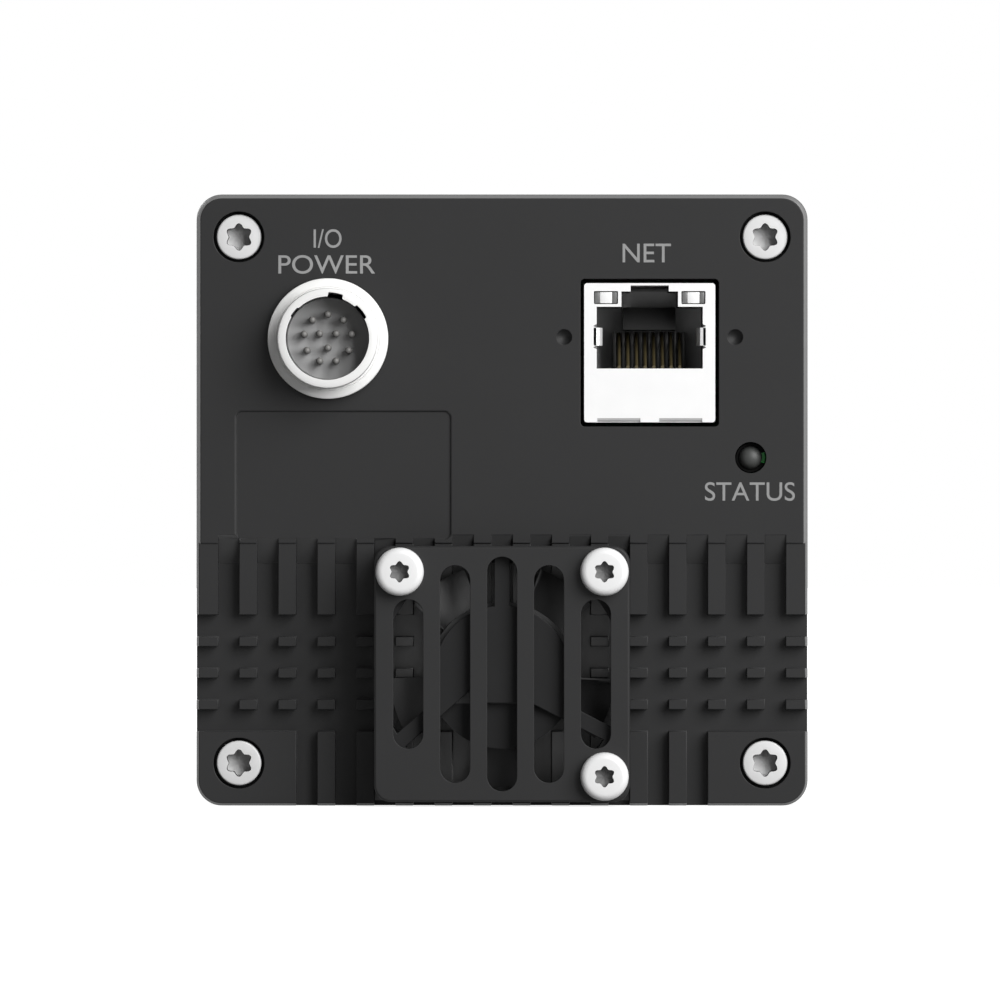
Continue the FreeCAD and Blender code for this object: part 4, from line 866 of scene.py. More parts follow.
def dressed(node: str, name: str, materials: Sequence[bpy.types.Material], edge: float,
            wider: Callable[[bmesh.types.BMEdge], float] = lambda item: 0.0,
            mark: Callable[[Vector, Vector], int] = lambda centre, normal: 0,
            ease: Callable[[Vector], Vector] = lambda spot: Vector(),
            cuts: Sequence[tuple[Vector, Vector]] = ()) -> bpy.types.Object:
    """A copy of a node with merged faces, softened edges and smooth round walls.

    Args:
        node: The CAD node.
        name: The new object's name.
        materials: Its materials.
        edge: The width of the softened edges.
        wider: The width of an edge that is softened more, 0, or less for one that stays sharp.
        mark: The material index of a face, from its centre and its normal.
        ease: How a vertex at a place is moved before the edges are softened.
        cuts: Planes, each as a place and a normal, that part the level faces.

    Returns:
        The new object, as a plain mesh.
    """
    bm = bmesh.new()
    bm.from_mesh(frame["nodes"][node].data)
    bmesh.ops.remove_doubles(bm, verts=bm.verts, dist=WELD)
    for vertex in bm.verts:
        vertex.co += ease(vertex.co)
    bmesh.ops.dissolve_limit(bm, angle_limit=FLAT_ANGLE, verts=bm.verts, edges=bm.edges)
    weight = bm.edges.layers.float.new("bevel_weight_edge")
    widest = max([edge] + [wider(item) for item in bm.edges])
    for item in bm.edges:
        if item.is_manifold and item.calc_face_angle(0.0) > HARD_ANGLE:
            width = wider(item)
            item[weight] = 0.0 if width < 0 else max(edge, width) / widest
    rough = mesh_piece(name, bm, materials)
    bevel = rough.modifiers.new("soften", "BEVEL")
    bevel.limit_method = "WEIGHT"
    bevel.width = widest
    bevel.segments = BEVEL_STEPS
    bevel.use_clamp_overlap = False
    bm = bmesh.new()
    absorb(bm, plain(rough, name))
    for spot, across in cuts:
        level = [face for face in bm.faces if abs(face.normal.y) > LEVEL]
        sides = dict.fromkeys(side for face in level for side in face.edges)
        ends = dict.fromkeys(end for face in level for end in face.verts)
        bmesh.ops.bisect_plane(bm, geom=[*ends, *sides, *level], dist=CUT_REACH,
                               plane_co=spot, plane_no=across)
    flat = []
    for face in bm.faces:
        face.material_index = mark(face.calc_center_median(), face.normal)
        flat.append(abs(face.normal.y) > LEVEL)
    made = mesh_piece(name, bm, materials)
    for face, level in zip(made.data.polygons, flat):
        face.use_smooth = face.use_smooth and not level
    weigh = made.modifiers.new("weigh", "WEIGHTED_NORMAL")
    weigh.keep_sharp = True
    return plain(made, name)


@dataclass
class Assembly:
    """A group of pieces with their finishes from one shelf."""

    shelf: FinishShelf

    def show(self, name: str, bm: bmesh.types.BMesh, slot: str, *nodes: str,
             finishes: Sequence[str] = (), body: Body = Body.CAMERA,
             crease: float = 40.0) -> None:
        """Turn a bmesh into a finished piece on its body.

        Args:
            name: The piece's name.
            bm: The mesh, which is used up.
            slot: Its slot.
            nodes: The CAD nodes that it stands for.
            finishes: Its finishes, in the order of the faces' indices, if not only its slot's.
            body: The body that it rides on.
            crease: The least angle of an edge that stays sharp, in degrees.
        """
        materials = [self.shelf[title] for title in finishes or (slot,)]
        seat(mesh_piece(name, bm, materials, crease), slot, body, *nodes)

    def coat(self, node: str, name: str, slot: str, edge: float) -> None:
        """Dress a node in the finish of its slot, with edges softened to a width."""
        seat(dressed(node, name, [self.shelf[slot]], edge), slot, Body.CAMERA, node)


@dataclass
class Studio:
    """The camera, the lamps, the white surround and the floor."""

    lens: float = 500.0
    sensor: float = 36.0
    frame_width: float = 117.8 * MM
    frame_centre_x: float = -0.24 * MM
    clip_reach: float = 10.0
    key_direction: Vector = Vector((0.85, -1.0, 0.6))
    key_size: float = 0.75
    key_power: float = 12.8
    back_direction: Vector = Vector((-0.9, 1.0, 0.5))
    back_size: float = 0.7
    back_power: float = 12.0
    lamp_distance: float = 0.9
    ambient: float = 0.06
    mirrored: float = 0.5
    floor_radius: float = 4.0
    floor_steps: int = 96
    floor_glow: float = 1.4
    floor_share: float = 0.62
    floor_white: float = 0.63
    floor_black: float = 0.15
    grain: float = 20 * MM
    grain_share: float = 0.04
    shadow_reach: float = 0.3
    shadow_end: float = 1.2

    def build(self) -> None:
        """Make everything that isn't part of the object."""
        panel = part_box("rear_cover")[0].y
        self.add_camera(panel)
        self.add_lamp("key", self.key_direction, self.key_size, self.key_power, panel)
        self.add_lamp("back", self.back_direction, self.back_size, self.back_power, panel)
        self.add_surround()
        self.add_floor()
        bpy.context.scene.view_settings.view_transform = "Standard"

    def add_camera(self, panel: float) -> None:
        """A long lens straight behind the connector panel."""
        data = bpy.data.cameras.new("camera_view")
        data.lens = self.lens
        data.sensor_width = self.sensor
        distance = self.frame_width * self.lens / self.sensor
        data.clip_end = distance * self.clip_reach
        view = put("camera_view", data)
        view.location = (self.frame_centre_x, panel - distance, 0)
        view.rotation_euler = (math.radians(90), 0, 0)
        bpy.context.scene.camera = view

    def add_lamp(self, name: str, direction: Vector, size: float, power: float,
                 panel: float) -> None:
        """A soft square lamp that looks at the middle of the panel.

        Args:
            name: Its name.
            direction: The way from the panel to the lamp.
            size: The lamp's side.
            power: Its power in watts.
            panel: The panel's level.
        """
        data = bpy.data.lights.new(name, "AREA")
        data.size = size
        data.energy = power
        lamp = put(name, data)
        way = direction.normalized()
        lamp.location = Vector((0, panel, 0)) + way * self.lamp_distance
        lamp.rotation_euler = way.to_track_quat("Z", "Y").to_euler()

    def shows_white(self, tree: NodeTree) -> Term:
        """1 for rays that see the background straight or in glass, and less for mirrored ones."""
        rays = tree.node("ShaderNodeLightPath").outputs
        seen = Term(tree, rays["Is Camera Ray"]).at_least(rays["Is Transmission Ray"])
        return seen.at_least(Term(tree, rays["Is Glossy Ray"]) * self.mirrored)

    def add_surround(self) -> None:
        """A white surround that lights the object at a plain level."""
        world = bpy.data.worlds.new("surround")
        world.use_nodes = True
        tree = NodeTree(world.node_tree)
        strength = self.shows_white(tree) * (1 - self.ambient) + self.ambient
        light = tree.node("ShaderNodeBackground", {"Color": (1, 1, 1, 1), "Strength": strength})
        tree.node("ShaderNodeOutputWorld", {"Surface": light.outputs[0]})
        bpy.context.scene.world = world

    def add_floor(self) -> None:
        """A pale floor that shows white and keeps the object's shadow."""
        bm = bmesh.new()
        bmesh.ops.create_circle(bm, cap_ends=True, segments=self.floor_steps,
                                radius=self.floor_radius)
        paint = Paint("floor")
        grain = paint.noise(self.grain)
        white = self.shows_white(paint)
        far = paint.steps(paint.length(paint.place), self.shadow_reach, self.shadow_end)
        shown = white * (far * (1 - self.floor_share) + self.floor_share)
        pale = white * (grain * self.grain_share + self.floor_white) + self.floor_black
        matt = paint.node("ShaderNodeBsdfDiffuse", {"Color": pale})
        glow = paint.node("ShaderNodeEmission", {"Strength": self.floor_glow})
        mixed = paint.node("ShaderNodeMixShader",
                           {0: shown, 1: matt.outputs[0], 2: glow.outputs[0]})
        paint.node("ShaderNodeOutputMaterial", {"Surface": mixed.outputs[0]})
        floor = mesh_piece("floor", bm, [paint.material])
        floor.location.z = CAD_BOX[0].z


class CasingFace(Enum):
    """The kinds of faces on the casing, each with its finish. The chamfers, the label recess's
    slopes, the groove run outs and the faces behind the fan get lighter finishes, as painted light.
    """

    PLAIN = "cover_block"
    # Chamfers: bare edges with a painted sheen.
    CHAMFER = "bright_edge"
    # Label recess slopes: painted highlight.
    LABEL_SLOPE = "milled_slope"
    # Groove run outs: painted light against their shade.
    RUNOUT = "groove_slope"
    # Faces behind the fan: painted light in the fan's shade.
    FAN_WELL = "fan_well"
    SIDE = "housing_shell"


@dataclass
class Casing(Assembly):
    """The deep front shell, the rear cover with its heatsink, and the words beside its ports."""

    edge: float = 0.06 * MM
    chamfer: float = 0.6 * MM
    chamfer_tilt: Point = (0.6, 0.8)
    corner_radius: float = 3.0 * MM
    side_tilt: float = 0.1
    label_slope: float = 0.2 * MM
    label_tilt: float = 0.98
    label_depth: float = 0.25 * MM
    label_low: Point = (-31.3 * MM, -4.6 * MM)
    label_high: Point = (-6.1 * MM, 10.4 * MM)
    label_margin: float = 1.0 * MM
    lock_spacing: float = 10.075 * MM
    lock_rise: float = 1.85 * MM
    lock_radius: float = 0.89 * MM
    # Depths, and shares of the radius.
    lock_rows: tuple[Row, ...] = ((2.0 * MM, 0.0), (2.0 * MM, 1.0), (0.7 * MM, 1.0),
                                  (1.0 * MM, 0.5), (1.05 * MM, 0.0))
    lock_steps: int = 32
    lock_crease: float = 30.0
    runout_top: float = -4.1 * MM
    runout_radius: float = 3.7 * MM
    runout_tilt: Point = (0.78, 0.9)
    runout_reach: float = 0.03 * MM
    groove_depth: float = 2.2 * MM
    well_depth: float = 3.0 * MM
    status_radius: float = 2.4 * MM
    step_height: float = -5.1 * MM
    step_slope: float = 0.095 * MM
    # Texts, each with its X, its Z and its width.
    words: tuple[tuple[str, float, float, float], ...] = (
        ("I/O", -20.55 * MM, 30.8 * MM, 3.3 * MM),
        ("POWER", -20.65 * MM, 27.75 * MM, 11.4 * MM),
        ("NET", 17.05 * MM, 29.1 * MM, 5.7 * MM),
        ("STATUS", 29.2 * MM, 1.0 * MM, 10.6 * MM))
    cap_height: float = 2.2 * MM
    thinning: float = 0.002
    print_height: float = 0.03 * MM
    print_crease: float = 20.0

    def build(self) -> None:
        """Make the casing's pieces."""
        self.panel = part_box("rear_cover")[0].y
        self.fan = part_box("fan_frame")
        self.light = middle("status_light")
        finishes = [self.shelf[kind.value] for kind in CasingFace]
        cuts = [(corner, way) for corner in self.fan for way in (ACROSS, UP)]
        cover = dressed("rear_cover", "rear_cover_block", finishes, self.edge, self.wider,
                        self.mark, self.ease, cuts)
        seat(cover, "cover_block", Body.CAMERA, "rear_cover")
        # On the shell, the plain faces have the shell's own finish.
        finishes[0] = self.shelf["housing_shell"]
        shell = dressed("housing", "housing_shell", finishes, self.edge, mark=self.mark)
        seat(shell, "housing_shell", Body.CAMERA, "housing")
        self.add_lock_ends()
        self.add_words()

    @property
    def run(self) -> float:
        """How far a groove's run out reaches down from its start."""
        depth = self.groove_depth
        return math.sqrt(2 * self.runout_radius * depth - depth * depth)

    def ease(self, spot: Vector) -> Vector:
        """How a place on a groove's run out is moved, so that the run out is an even slope."""
        share = (self.runout_top - spot.z) / self.run
        if not 0 < share < 1:
            return Vector()
        away = self.run * (1 - share)
        arc = math.sqrt(self.runout_radius ** 2 - away ** 2) - self.runout_radius
        depth = self.groove_depth + arc
        if abs(spot.y - self.panel - depth) > self.runout_reach:
            return Vector()
        if abs(spot.y - self.panel - self.label_depth) < WELD and self.beside_label(spot):
            return Vector((0, 0, self.run * (share - depth / self.groove_depth)))
        return Vector((0, self.groove_depth * share - depth, 0))

    def wider(self, edge: bmesh.types.BMEdge) -> float:
        """The width of the label recess's slopes and of the step above the fins.

        Args:
            edge: An edge of the cover.

        Returns:
            The width, or less than 0 for an edge that stays sharp.
        """
        spots = [vertex.co for vertex in edge.verts]
        inside = all(self.label_low[0] + self.label_margin < spot.x
                     < self.label_high[0] - self.label_margin for spot in spots)
        foot = self.label_low[1] + (self.label_slope if inside else WELD)
        if all(math.hypot(spot.x - self.light.x, spot.z - self.light.z) < self.status_radius
               or spot.z < foot and self.beside_label(spot) for spot in spots):
            return -1.0
        if all(abs(spot.z - self.step_height) < WELD for spot in spots):
            return self.step_slope
        level = all(abs(spot.y - self.panel) < WELD for spot in spots)
        return self.label_slope if level and all(map(self.beside_label, spots)) else 0.0

    def beside_label(self, spot: Vector) -> bool:
        """Whether a place lies on the label recess's outline or inside it."""
        return all(low - WELD < part < high + WELD for low, part, high in
                   zip(self.label_low, (spot.x, spot.z), self.label_high))

    def mark(self, centre: Vector, normal: Vector) -> int:
        """The index of a face's finish, from its centre and its normal."""
        return list(CasingFace).index(self.kind(centre, abs(normal.y)))

    def kind(self, centre: Vector, tilt: float) -> CasingFace:
        """The kind of a face, from its centre and the size of its normal's Y part."""
        inner = CAD_BOX[1].x - self.corner_radius
        out = inner + math.hypot(max(abs(centre.x) - inner, 0), max(abs(centre.z) - inner, 0))
        if self.chamfer_tilt[0] < tilt < self.chamfer_tilt[1] and out > CAD_BOX[1].x - self.chamfer:
            return CasingFace.CHAMFER
        if tilt < self.side_tilt and out > CAD_BOX[1].x - self.edge:
            return CasingFace.SIDE
        if self.side_tilt < tilt < self.label_tilt and self.beside_label(centre):
            return CasingFace.LABEL_SLOPE
        on_runout = self.runout_top - self.run < centre.z < self.runout_top
        if on_runout and self.runout_tilt[0] < tilt < self.runout_tilt[1]:
            return CasingFace.RUNOUT
        low, high = self.fan
        behind = low.x < centre.x < high.x and low.z < centre.z < high.z
        if behind and self.panel < centre.y < self.panel + self.well_depth:
            return CasingFace.FAN_WELL
        return CasingFace.PLAIN

    def add_lock_ends(self) -> None:
        """The ends of the two blind holes beside the network jack."""
        port = middle("net_shield")
        rows = [(-depth, self.lock_radius * share) for depth, share in self.lock_rows]
        bm = bmesh.new()
        for side in SIDES:
            plug = bmesh.new()
            turned_mesh(plug, rows, self.lock_steps)
            place = Vector((port.x + self.lock_spacing * side, self.panel,
                            port.z + self.lock_rise))
            absorb(bm, mesh_piece("end", settle(plug, place), []))
        self.show("lock_hole_ends", bm, "cover_block", crease=self.lock_crease)

    def add_words(self) -> None:
        """The plain function words beside the ports, printed in grey."""
        bm = bmesh.new()
        for text, x, z, width in self.words:
            mesh = self.word_mesh(text, width)
            mesh.transform(Matrix.Translation((x, self.panel, z)))
            bm.from_mesh(mesh)
            bpy.data.meshes.remove(mesh)
        self.show("panel_words", bm, "cover_block", finishes=("print",),
                  crease=self.print_crease)

    def word_mesh(self, text: str, width: float) -> bpy.types.Mesh:
        """A word as raised print about the origin, in the XZ plane.

        Args:
            text: The word.
            width: Its width.

        Returns:
            The word's mesh.
        """
        curve = bpy.data.curves.new(text, "FONT")
        curve.body = text
        curve.extrude = 0.5
        curve.offset = self.thinning
        made = plain(put("word", curve), "word")
        mesh = made.data
        bpy.data.objects.remove(made)
        spots = [vertex.co for vertex in mesh.vertices]
        low = Vector(min(spot[i] for spot in spots) for i in range(3))
        high = Vector(max(spot[i] for spot in spots) for i in range(3))
        size = high - low
        mesh.transform(Matrix.Translation(-(low + high) / 2))
        scale = (width / size.x, self.cap_height / size.y, 2 * self.print_height / size.z, 1)
        mesh.transform(Matrix.Diagonal(scale))
        mesh.transform(Matrix.Rotation(math.radians(90), 4, "X"))
        return mesh


class HeadStyle(Enum):
    """The form of a screw's head, as the radius of its edge and the steps round it."""

    CYLINDER = (0.22 * MM, 3)
    PAN = (0.8 * MM, 6)


@dataclass
class LobedScrews(Assembly):
    """A set of like screws with six lobed recesses, in place of one node."""

    node: str
    style: HeadStyle
    places: Sequence[Point]
    finish: str
    recess_finish: str
    head_radius: float
    head_height: float
    recess_radius: float
    recess_depth: float
    shank_radius: float = 1.45 * MM
    shank_chamfer: float = 0.3 * MM
    steps: int = 72
    lobes: int = 6
    lobe: float = 0.125
    # Shares of the recess's depth and of its radius.
    recess_rows: tuple[Row, ...] = ((1.12, 0.0), (1.08, 0.3), (1.0, 0.96), (0.1, 0.98), (0.0, 1.0))
    recess_reach: float = 1.4
    floor_tilt: float = 0.6

    def build(self) -> None:
        """Make the screws and set them on their places."""
        low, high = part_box(self.node)
        points = [Vector((x, low.y, z)) for x, z in self.places]
        screws = scatter_tree().run(f"{self.node}_set", points, Finish=self.shelf[self.finish],
                                    Piece=self.one_screw(high.y - low.y))
        self.darken_recess(screws, low.y)
        seat(screws, "bright_screws", Body.CAMERA, self.node)

    def lobed(self, turn: float, radius: float) -> float:
        """The recess's radius in a direction, with a tip straight up."""
        return radius * (1 - self.lobe * (1 + math.cos(self.lobes * turn)))

    def crown(self) -> list[Row]:
        """The head's outer rows, from its top face to the end of its rounded edge."""
        edge, steps = self.style.value
        return [(-edge * (1 - math.cos(turn)), self.head_radius - edge * (1 - math.sin(turn)))
                for turn in quarter(steps)]

    def one_screw(self, length: float) -> bpy.types.Object:
        """One screw of a length, with its head's top face at the origin."""
        bm = bmesh.new()
        recess = [(-self.recess_depth * depth, self.recess_radius * reach)
                  for depth, reach in self.recess_rows]
        turned_mesh(bm, recess, self.steps, self.lobed, material=1)
        shank, chamfer = self.shank_radius, self.shank_chamfer
        turned_mesh(bm, self.crown() + [
            (-self.head_height, self.head_radius), (-self.head_height, shank),
            (chamfer - length, shank), (-length, shank - chamfer), (-length, 0.0)], self.steps)
        rim = [vertex for vertex in bm.verts if abs(vertex.co.y) < DOUBLE]
        reach = self.recess_radius + WELD
        join(bm, sorted((v for v in rim if v.co.length < reach), key=self.direction),
             sorted((v for v in rim if v.co.length > reach), key=self.direction))
        screw = mesh_piece("screw", settle(bm, Vector()), [])
        screw.hide_render = True
        return screw

    @staticmethod
    def direction(vertex: bmesh.types.BMVert) -> float:
        """A vertex's angle round the screw, from 0 upwards."""
        return round(math.atan2(vertex.co.z, vertex.co.x), 6) % round(2 * math.pi, 6)

    def darken_recess(self, screws: bpy.types.Object, top: float) -> None:
        """Give the recesses' floors their finish and darken their walls, as painted shade."""
        mesh = screws.data
        floor = len(mesh.materials)
        for name in (self.recess_finish, "recess_wall_shade"):
            mesh.materials.append(self.shelf[name])
        end = top + self.recess_depth * self.recess_reach
        for face in mesh.polygons:
            spot = face.center
            near = min(math.hypot(spot.x - x, spot.z - z) for x, z in self.places)
            if near < self.recess_radius and top + WELD < spot.y < end:
                # The walls get the dark finish, as painted shade.
                face.material_index = floor + (abs(face.normal.y) <= self.floor_tilt)


@dataclass
class RoundReceptacle(Assembly):
    """The round signal and power receptacle: its shell, its insulator and its twelve pins."""

    seal: float = 0.3 * MM
    flange_edge: float = 0.15 * MM
    flange_top: float = 1.5 * MM
    groove_depth: float = 0.12 * MM
    groove_floor: float = 0.15 * MM
    groove_mouth: float = 0.25 * MM
    barrel_radius: float = 5.9 * MM
    bore_radius: float = 4.9 * MM
    thread_radius: float = 5.6 * MM
    rim_round: float = 0.3 * MM
    round_share: float = 0.3
    insert_height: float = 0.5 * MM
    insert_edge: float = 0.1 * MM
    insert_steps: int = 96
    # Directions in degrees, widths and depths.
    key_ways: tuple[tuple[float, float, float], ...] = (
        (80, 1.7 * MM, 0.5 * MM), (38, 1.8 * MM, 0.3 * MM), (142, 1.2 * MM, 0.15 * MM))
    pin_radius: float = 0.42 * MM
    pin_reach: float = 3.2 * MM
    pin_steps: int = 20
    pin_tip_steps: int = 6
    # Radii, numbers of pins and the first pins' directions in degrees.
    pin_circles: tuple[tuple[float, int, float], ...] = ((2.83 * MM, 9, 90), (1.12 * MM, 3, 30))
    steps: int = 240

    def build(self) -> None:
        """Make the receptacle's pieces."""
        self.centre = middle("io_shell")
        self.centre.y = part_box("rear_cover")[0].y
        self.add_shell()
        self.add_insert()
        self.add_pins()

    def keyed(self, turn: float, radius: float) -> float:
        """The bore's radius in a direction, deeper in the key ways."""
        for way, width, depth in self.key_ways:
            away = (math.degrees(turn) - way + 180) % 360 - 180
            if abs(math.radians(away)) * self.bore_radius < width / 2:
                return radius + depth
        return radius

    def rounded(self, height: float, radius: float, size: float) -> list[Row]:
        """The rows of an outer edge that is rounded off, from its side to its top."""
        soft = size * self.round_share
        return [(height - size, radius), (height - soft, radius - soft), (height, radius - size)]

    def add_shell(self) -> None:
        """The turned shell with its flange, barrel and keyed bore."""
        low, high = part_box("io_shell")
        back, top = self.centre.y - high.y, self.centre.y - low.y
        flange, barrel, floor = (high.x - low.x) / 2, self.barrel_radius, self.groove_depth
        rows = [
            (back, self.bore_radius), (back, self.thread_radius),
            (self.seal, self.thread_radius), (self.seal, flange),
            *self.rounded(self.flange_top, flange, self.flange_edge),
            (self.flange_top, barrel + self.groove_mouth),
            (self.flange_top - floor, barrel + self.groove_floor),
            (self.flange_top - floor, barrel),
            *self.rounded(top, barrel, self.rim_round),
        ]
        bore = [(top, self.bore_radius), (self.insert_height, self.bore_radius)]
        bm = bmesh.new()
        outside, inside = self.wall(bm, rows), self.wall(bm, bore, True)
        join(bm, outside[1], inside[0])
        join(bm, inside[1], outside[0])
        # The bore's walls get a dark finish, as painted shade.
        self.show("io_receptacle_shell", settle(bm, self.centre), "receptacle_shell", "io_shell",
                  finishes=("receptacle_shell", "bore_shade"))

    def wall(self, bm: bmesh.types.BMesh, rows: Sequence[Row],
             bored: bool = False) -> tuple[list, list]:
        """Turn a profile and give its first and its last ring of vertices.

        Args:
            bm: The mesh that it is added to.
            rows: Heights and radii.
            bored: Whether it is the bore with its key ways, darkened as painted shade.

        Returns:
            The first ring and the last.
        """
        start = len(bm.verts)
        turned_mesh(bm, rows, self.steps, self.keyed if bored else no_turn, material=int(bored))
        bm.verts.ensure_lookup_table()
        return bm.verts[start:start + self.steps], bm.verts[-self.steps:]

    def add_insert(self) -> None:
        """The grey insulator round the pins."""
        low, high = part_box("io_insert")
        radius, back = (high.x - low.x) / 2, self.centre.y - high.y
        face, edge = self.insert_height, self.insert_edge
        bm = bmesh.new()
        turned_mesh(bm, [(back, 0.0), (back, radius), (face - edge, radius),
                         (face, radius - edge), (face, 0.0)], self.insert_steps)
        self.show("io_receptacle_insert", settle(bm, self.centre), "insert_grey", "io_insert")

    def add_pins(self) -> None:
        """The round tipped pins, in a ring of nine about a ring of three."""
        back, radius = self.centre.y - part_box("io_pins")[1].y, self.pin_radius
        tip = self.insert_height + self.pin_reach
        rows = [(back, 0.0), (back, radius), (self.insert_height, radius)]
        rows += [(tip - radius * (1 - math.sin(turn)), radius * math.cos(turn))
                 for turn in quarter(self.pin_tip_steps)]
        bm = bmesh.new()
        for circle, count, start in self.pin_circles:
            pin = bmesh.new()
            turned_mesh(pin, rows, self.pin_steps)
            piece = mesh_piece("pin", settle(pin, ACROSS * circle), [])
            absorb(bm, ring_tree().run("pins", Piece=piece, Finish=self.shelf["pin_metal"],
                                       Count=count, Start=math.radians(start),
                                       Centre=self.centre))
        self.show("io_receptacle_pins", bm, "pin_metal", "io_pins")


@dataclass
class NetworkJack(Assembly):
    """The shielded network jack: folded shield, moulded insert, contacts and light windows."""

    wall: float = 0.3 * MM
    fold: float = 0.35 * MM
    inner_fold: float = 0.1 * MM
    port_width: float = 12.5 * MM
    port_low: float = -1.86 * MM
    port_high: float = 5.42 * MM
    latch_width: float = 6.67 * MM
    latch_high: float = 7.22 * MM
    catch_width: float = 4.5 * MM
    catch_high: float = 7.94 * MM
    light_spacing: float = 10.3 * MM
    light_rise: float = 6.5 * MM
    light_width: float = 2.83 * MM
    light_height: float = 1.53 * MM
    light_core: float = 0.72 * MM
    light_gap: float = 0.1 * MM
    light_edge: float = 0.08 * MM
    window_round: float = 0.12 * MM
    window_steps: int = 2
    side_gap: float = 0.13 * MM
    notch: float = 0.42 * MM
    finger_rise: float = 1.9 * MM
    finger_height: float = 2.1 * MM
    # Depths, and distances outside the port's side.
    finger_bend: tuple[Point, ...] = (
        (0.0, 0.2 * MM), (0.12 * MM, -0.15 * MM), (0.5 * MM, -0.27 * MM),
        (2.2 * MM, -0.55 * MM), (3.6 * MM, -0.3 * MM))
    tab_start: float = 1.1 * MM
    tab_end: float = 6.2 * MM
    tab_height: float = 0.5 * MM
    tab_inset: float = 0.05 * MM
    tab_steps: int = 5
    shield_crease: float = 35.0
    insert_edge: float = 0.04 * MM
    ramp_half: float = 3.1 * MM
    ramp_low: float = 2.75 * MM
    ramp_depths: tuple[float, ...] = (2.2 * MM, 2.8 * MM, 11.5 * MM, 11.5 * MM, 6.2 * MM)
    tooth_half: float = 0.17 * MM
    tooth_start: float = 7.0 * MM
    tooth_depth: float = 7.5 * MM
    tooth_height: float = 4.4 * MM
    tooth_edge: float = 0.05 * MM
    contact_pitch: float = 1.02 * MM
    contact_radius: float = 0.2 * MM
    # Shares of the contacts' depth and of their rise.
    contact_route: tuple[Point, ...] = ((0.02, 0.0), (0.06, 0.0), (0.1, 0.05), (0.6, 0.93),
                                        (0.64, 0.99), (0.68, 1.0), (0.98, 1.0))
    contacts: int = 8

    def build(self) -> None:
        """Make the jack's pieces."""
        self.low, self.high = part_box("net_shield")
        self.centre = middle("net_shield")
        self.finger = [self.finger_rise + self.finger_height / 2 * side for side in SIDES]
        self.tabs = [sorted((side * self.tab_start, side * self.tab_end)) for side in SIDES]
        self.add_shield()
        self.add_insert()
        self.add_contacts()
        self.add_lights()

    def port_outline(self) -> list[Point]:
        """The plug opening in the steel, with the notches beside its spring fingers."""
        half, notch = self.port_width / 2, self.notch
        latch, catch = self.latch_width / 2, self.catch_width / 2
        low, top = self.finger
        right = [
            (half, self.port_low), (half, low - notch), (half + notch, low - notch * 0.5),
            (half, low), (half, top), (half + notch, top + notch * 0.5), (half, top + notch),
            (half, self.port_high), (latch, self.port_high), (latch, self.latch_high),
            (catch, self.latch_high), (catch, self.catch_high),
        ]
        return right + [(-x, z) for x, z in reversed(right)]

    def window(self, side: int) -> list[Point]:
        """The outline of one light window."""
        x, half, rise = self.light_spacing / 2 * side, self.light_width / 2, self.light_height / 2
        return rounded_outline((x - half, self.light_rise - rise),
                               (x + half, self.light_rise + rise), self.window_round,
                               self.window_steps)

    def add_shield(self) -> None:
        """The tinned steel shield with its spring fingers and fold tabs."""
        half = (self.high - self.low) / 2
        half.x -= self.side_gap
        edge = rounded_outline((-half.x, -half.z), (half.x, half.z), self.fold)
        face = outline_plate("net_face", [self.notched(edge, -half.z), self.port_outline(),
                                          *map(self.window, SIDES)], self.wall)
        face.data.transform(Matrix.Translation((0, self.wall / 2 - half.y, 0)))
        inner = rounded_outline((self.wall - half.x, self.wall - half.z),
                                (half.x - self.wall, half.z - self.wall), self.inner_fold)
        depth = half.y * 2 - self.wall
        sleeve = outline_plate("net_sleeve", [edge, inner], depth)
        sleeve.data.transform(Matrix.Translation((0, half.y - depth / 2, 0)))
        bm = bmesh.new()
        absorb(bm, face)
        absorb(bm, sleeve)
        bmesh.ops.remove_doubles(bm, verts=bm.verts, dist=WELD)
        for side, span in zip(SIDES, self.tabs):
            self.add_finger(bm, side, half.y)
            self.add_tab(bm, span, half)
        bmesh.ops.translate(bm, verts=bm.verts, vec=self.centre)
        self.show("net_jack_shield", bm, "shield_steel", "net_shield",
                  finishes=("shield_steel", "fold_steel_shaded"), crease=self.shield_crease)

    def notched(self, edge: list[Point], low: float) -> list[Point]:
        """The shield's outline with two notches in its lower edge, where the tabs fold back."""
        corner = len(edge) * 3 // 4
        top = low + self.tab_height
        notches = [point for near, far in self.tabs
                   for point in ((near, low), (near, top), (far, top), (far, low))]
        return edge[:corner] + notches + edge[corner:]

    def add_tab(self, bm: bmesh.types.BMesh, span: Sequence[float], half: Vector) -> None:
        """One tab that folds back round the shield's lower edge, in a darker steel as painted shade.
        """
        size = self.tab_height
        rows = [[bm.verts.new((x, self.tab_inset - half.y + size * (1 - math.cos(turn)),
                               size * (1 - math.sin(turn)) - half.z)) for x in span]
                for turn in quarter(self.tab_steps)]
        for upper, lower in zip(rows, rows[1:]):
            bm.faces.new((*upper, *lower[::-1])).material_index = 1

    def add_finger(self, bm: bmesh.types.BMesh, side: int, front: float) -> None:
        """One spring finger, which bends into the port beside the plug."""
        outer, inner = [[(side * (self.port_width / 2 + away + part * self.wall / 2),
                          depth - front) for depth, away in self.finger_bend] for part in (1, -1)]
        loops = [[bm.verts.new((x, y, z)) for x, y in outer + inner[::-1]] for z in self.finger]
        faces = join(bm, *loops)
        for loop in loops:
            for i in range(len(outer) - 1):
                k = len(loop) - 1 - i
                faces.append(bm.faces.new((loop[i], loop[i + 1], loop[k - 1], loop[k])))
        bmesh.ops.recalc_face_normals(bm, faces=faces)

